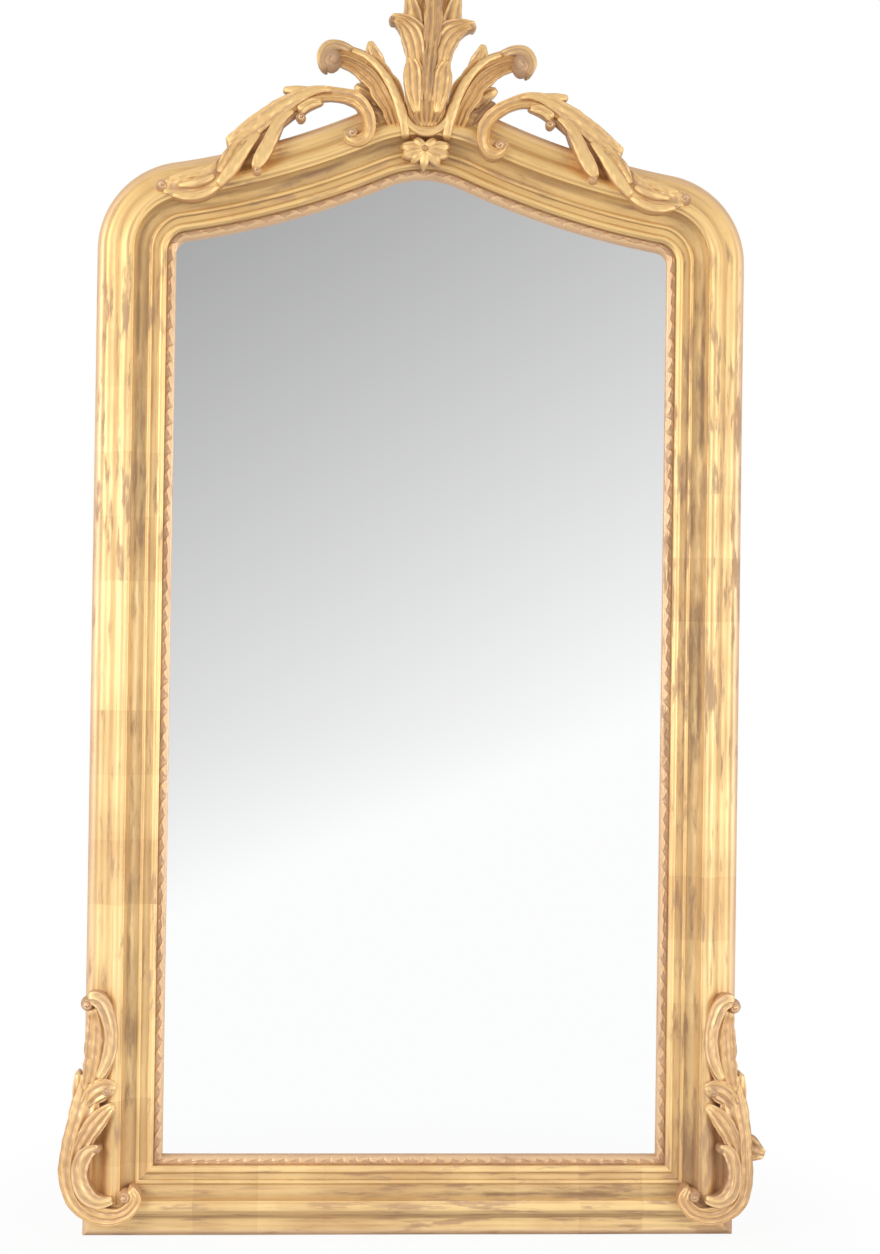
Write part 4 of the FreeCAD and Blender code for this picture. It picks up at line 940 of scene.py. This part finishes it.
def slimmer(by):
    """The belly of a corner scroll drawn in: a bell round z = 90 that grows from x = 380 outwards."""
    return lambda place: np.outer(by * np.exp(-((place[:, 2] - 90) / 45) ** 2)
                                  * np.clip((place[:, 0] - 380) / 40, 0, 1), (-1, 0, 0))


carved("corner_scroll_right", CORNER_SCROLL + CORNER_SPUR, False, slimmer(7.0), corner_gilt)
carved("corner_scroll_left", CORNER_SCROLL, True, None, corner_gilt)


# Studio. A pale floor that keeps a little of the shadow, a white surround that the plate sees
# as a soft grey card fading to white, one large lamp from the left and one nearly as strong opposite.
def stage_plane(name, half):
    """Level square at the foot of the frame."""
    mesh = bpy.data.meshes.new(name)
    corners = [(-half, -half, 0), (half, -half, 0), (half, half, 0), (-half, half, 0)]
    mesh.from_pydata(corners, [], [(0, 1, 2, 3)])
    made = bpy.data.objects.new(name, mesh)
    scene.collection.objects.link(made)
    return made


def seen_directly(tree):
    """One for rays that show the surround as it is: from the camera, off gloss and through glass.

    Gives that socket and the Light Path node it was made from."""
    path = node(tree, "ShaderNodeLightPath")
    either = math_node(tree, "MAXIMUM", path.outputs["Is Camera Ray"], path.outputs["Is Glossy Ray"])
    return math_node(tree, "MAXIMUM", either, path.outputs["Is Transmission Ray"]), path


floor = stage_plane("floor", 3.0)
floor_finish = bpy.data.materials.new("floor_paper")
floor_finish.use_nodes = True
tree = floor_finish.node_tree
tree.nodes.clear()
direct = seen_directly(tree)[0]
distance = node(tree, "ShaderNodeVectorMath", {0: object_place(tree)}, operation="LENGTH")
share = times(tree, direct, ramp(tree, distance.outputs["Value"], 0.40, 0.75, 0.93, 1.0))
paper = node(tree, "ShaderNodeBsdfDiffuse", {"Color": (0.86, 0.86, 0.86, 1.0)})
glow = node(tree, "ShaderNodeEmission", {"Color": (1.0, 1.0, 1.0, 1.0), "Strength": 1.0})
both = node(tree, "ShaderNodeMixShader", {0: share, 1: paper.outputs[0], 2: glow.outputs[0]})
tree.links.new(both.outputs[0], node(tree, "ShaderNodeOutputMaterial").inputs["Surface"])
floor.data.materials.append(floor_finish)

# The card stands behind the camera, where only the plate sees it; it is paler to the right and
# towards the floor.
world = bpy.data.worlds.new("studio")
scene.world = world
world.use_nodes = True
tree = world.node_tree
tree.nodes.clear()
direct, path = seen_directly(tree)
way = node(tree, "ShaderNodeSeparateXYZ", {0: node(tree, "ShaderNodeTexCoord").outputs["Generated"]})
level = plus(tree, times(tree, way.outputs["X"], 0.533), times(tree, way.outputs["Z"], -0.902))
low_card = plus(tree, level, ramp(tree, way.outputs["Z"], -0.03, -0.13, 0.885, 0.915))
card = math_node(tree, "POWER", math_node(tree, "MINIMUM", low_card, 1.0), 2.2)
ahead = ramp(tree, way.outputs["Y"], -0.80, -0.93)
faced = times(tree, ahead, path.outputs["Is Glossy Ray"])
shown = colour_mix(tree, faced, (1.0, 1.0, 1.0), card)
seen = node(tree, "ShaderNodeBackground", {"Color": shown, "Strength": 1.0})
lit = node(tree, "ShaderNodeBackground", {"Color": (1.0, 0.985, 0.96, 1.0), "Strength": 0.55})
both = node(tree, "ShaderNodeMixShader", {0: direct, 1: lit.outputs[0], 2: seen.outputs[0]})
tree.links.new(both.outputs[0], node(tree, "ShaderNodeOutputWorld").inputs["Surface"])


def lamp(name, place, aim, size, power):
    """Square soft lamp pointed at a spot."""
    data = bpy.data.lights.new(name, "AREA")
    data.size = size
    data.energy = power
    data.spread = math.radians(100)
    made = bpy.data.objects.new(name, data)
    made.location = place
    toward = np.subtract(aim, place)
    made.rotation_euler = (math.atan2(math.hypot(toward[0], toward[1]), -toward[2]), 0.0,
                           math.atan2(-toward[0], toward[1]))
    scene.collection.objects.link(made)


lamp("lamp_left", (-2.2, -1.7, 1.3), aim=(-0.3, 0.0, 0.35), size=1.4, power=14.5)
lamp("lamp_right", (2.5, -2.0, 0.8), aim=(0.0, 0.0, 0.45), size=1.6, power=13.0)

# Camera at the photograph's viewing angle; its focal length is given in pixels of the picture.
SENSOR = 36.0
FOCAL_PIXELS = 2000.0
PICTURE_HEIGHT_PIXELS = 1254.0
camera_data = bpy.data.cameras.new("camera")
camera_data.sensor_width = SENSOR
camera_data.lens = SENSOR * FOCAL_PIXELS / PICTURE_HEIGHT_PIXELS
camera = bpy.data.objects.new("camera", camera_data)
camera.location = (-0.1105, -2.536, 0.7342)
camera.rotation_euler = [math.radians(angle) for angle in (90.5701, -0.802, -3.154)]
scene.collection.objects.link(camera)
scene.camera = camera
scene.view_settings.view_transform = "Standard"
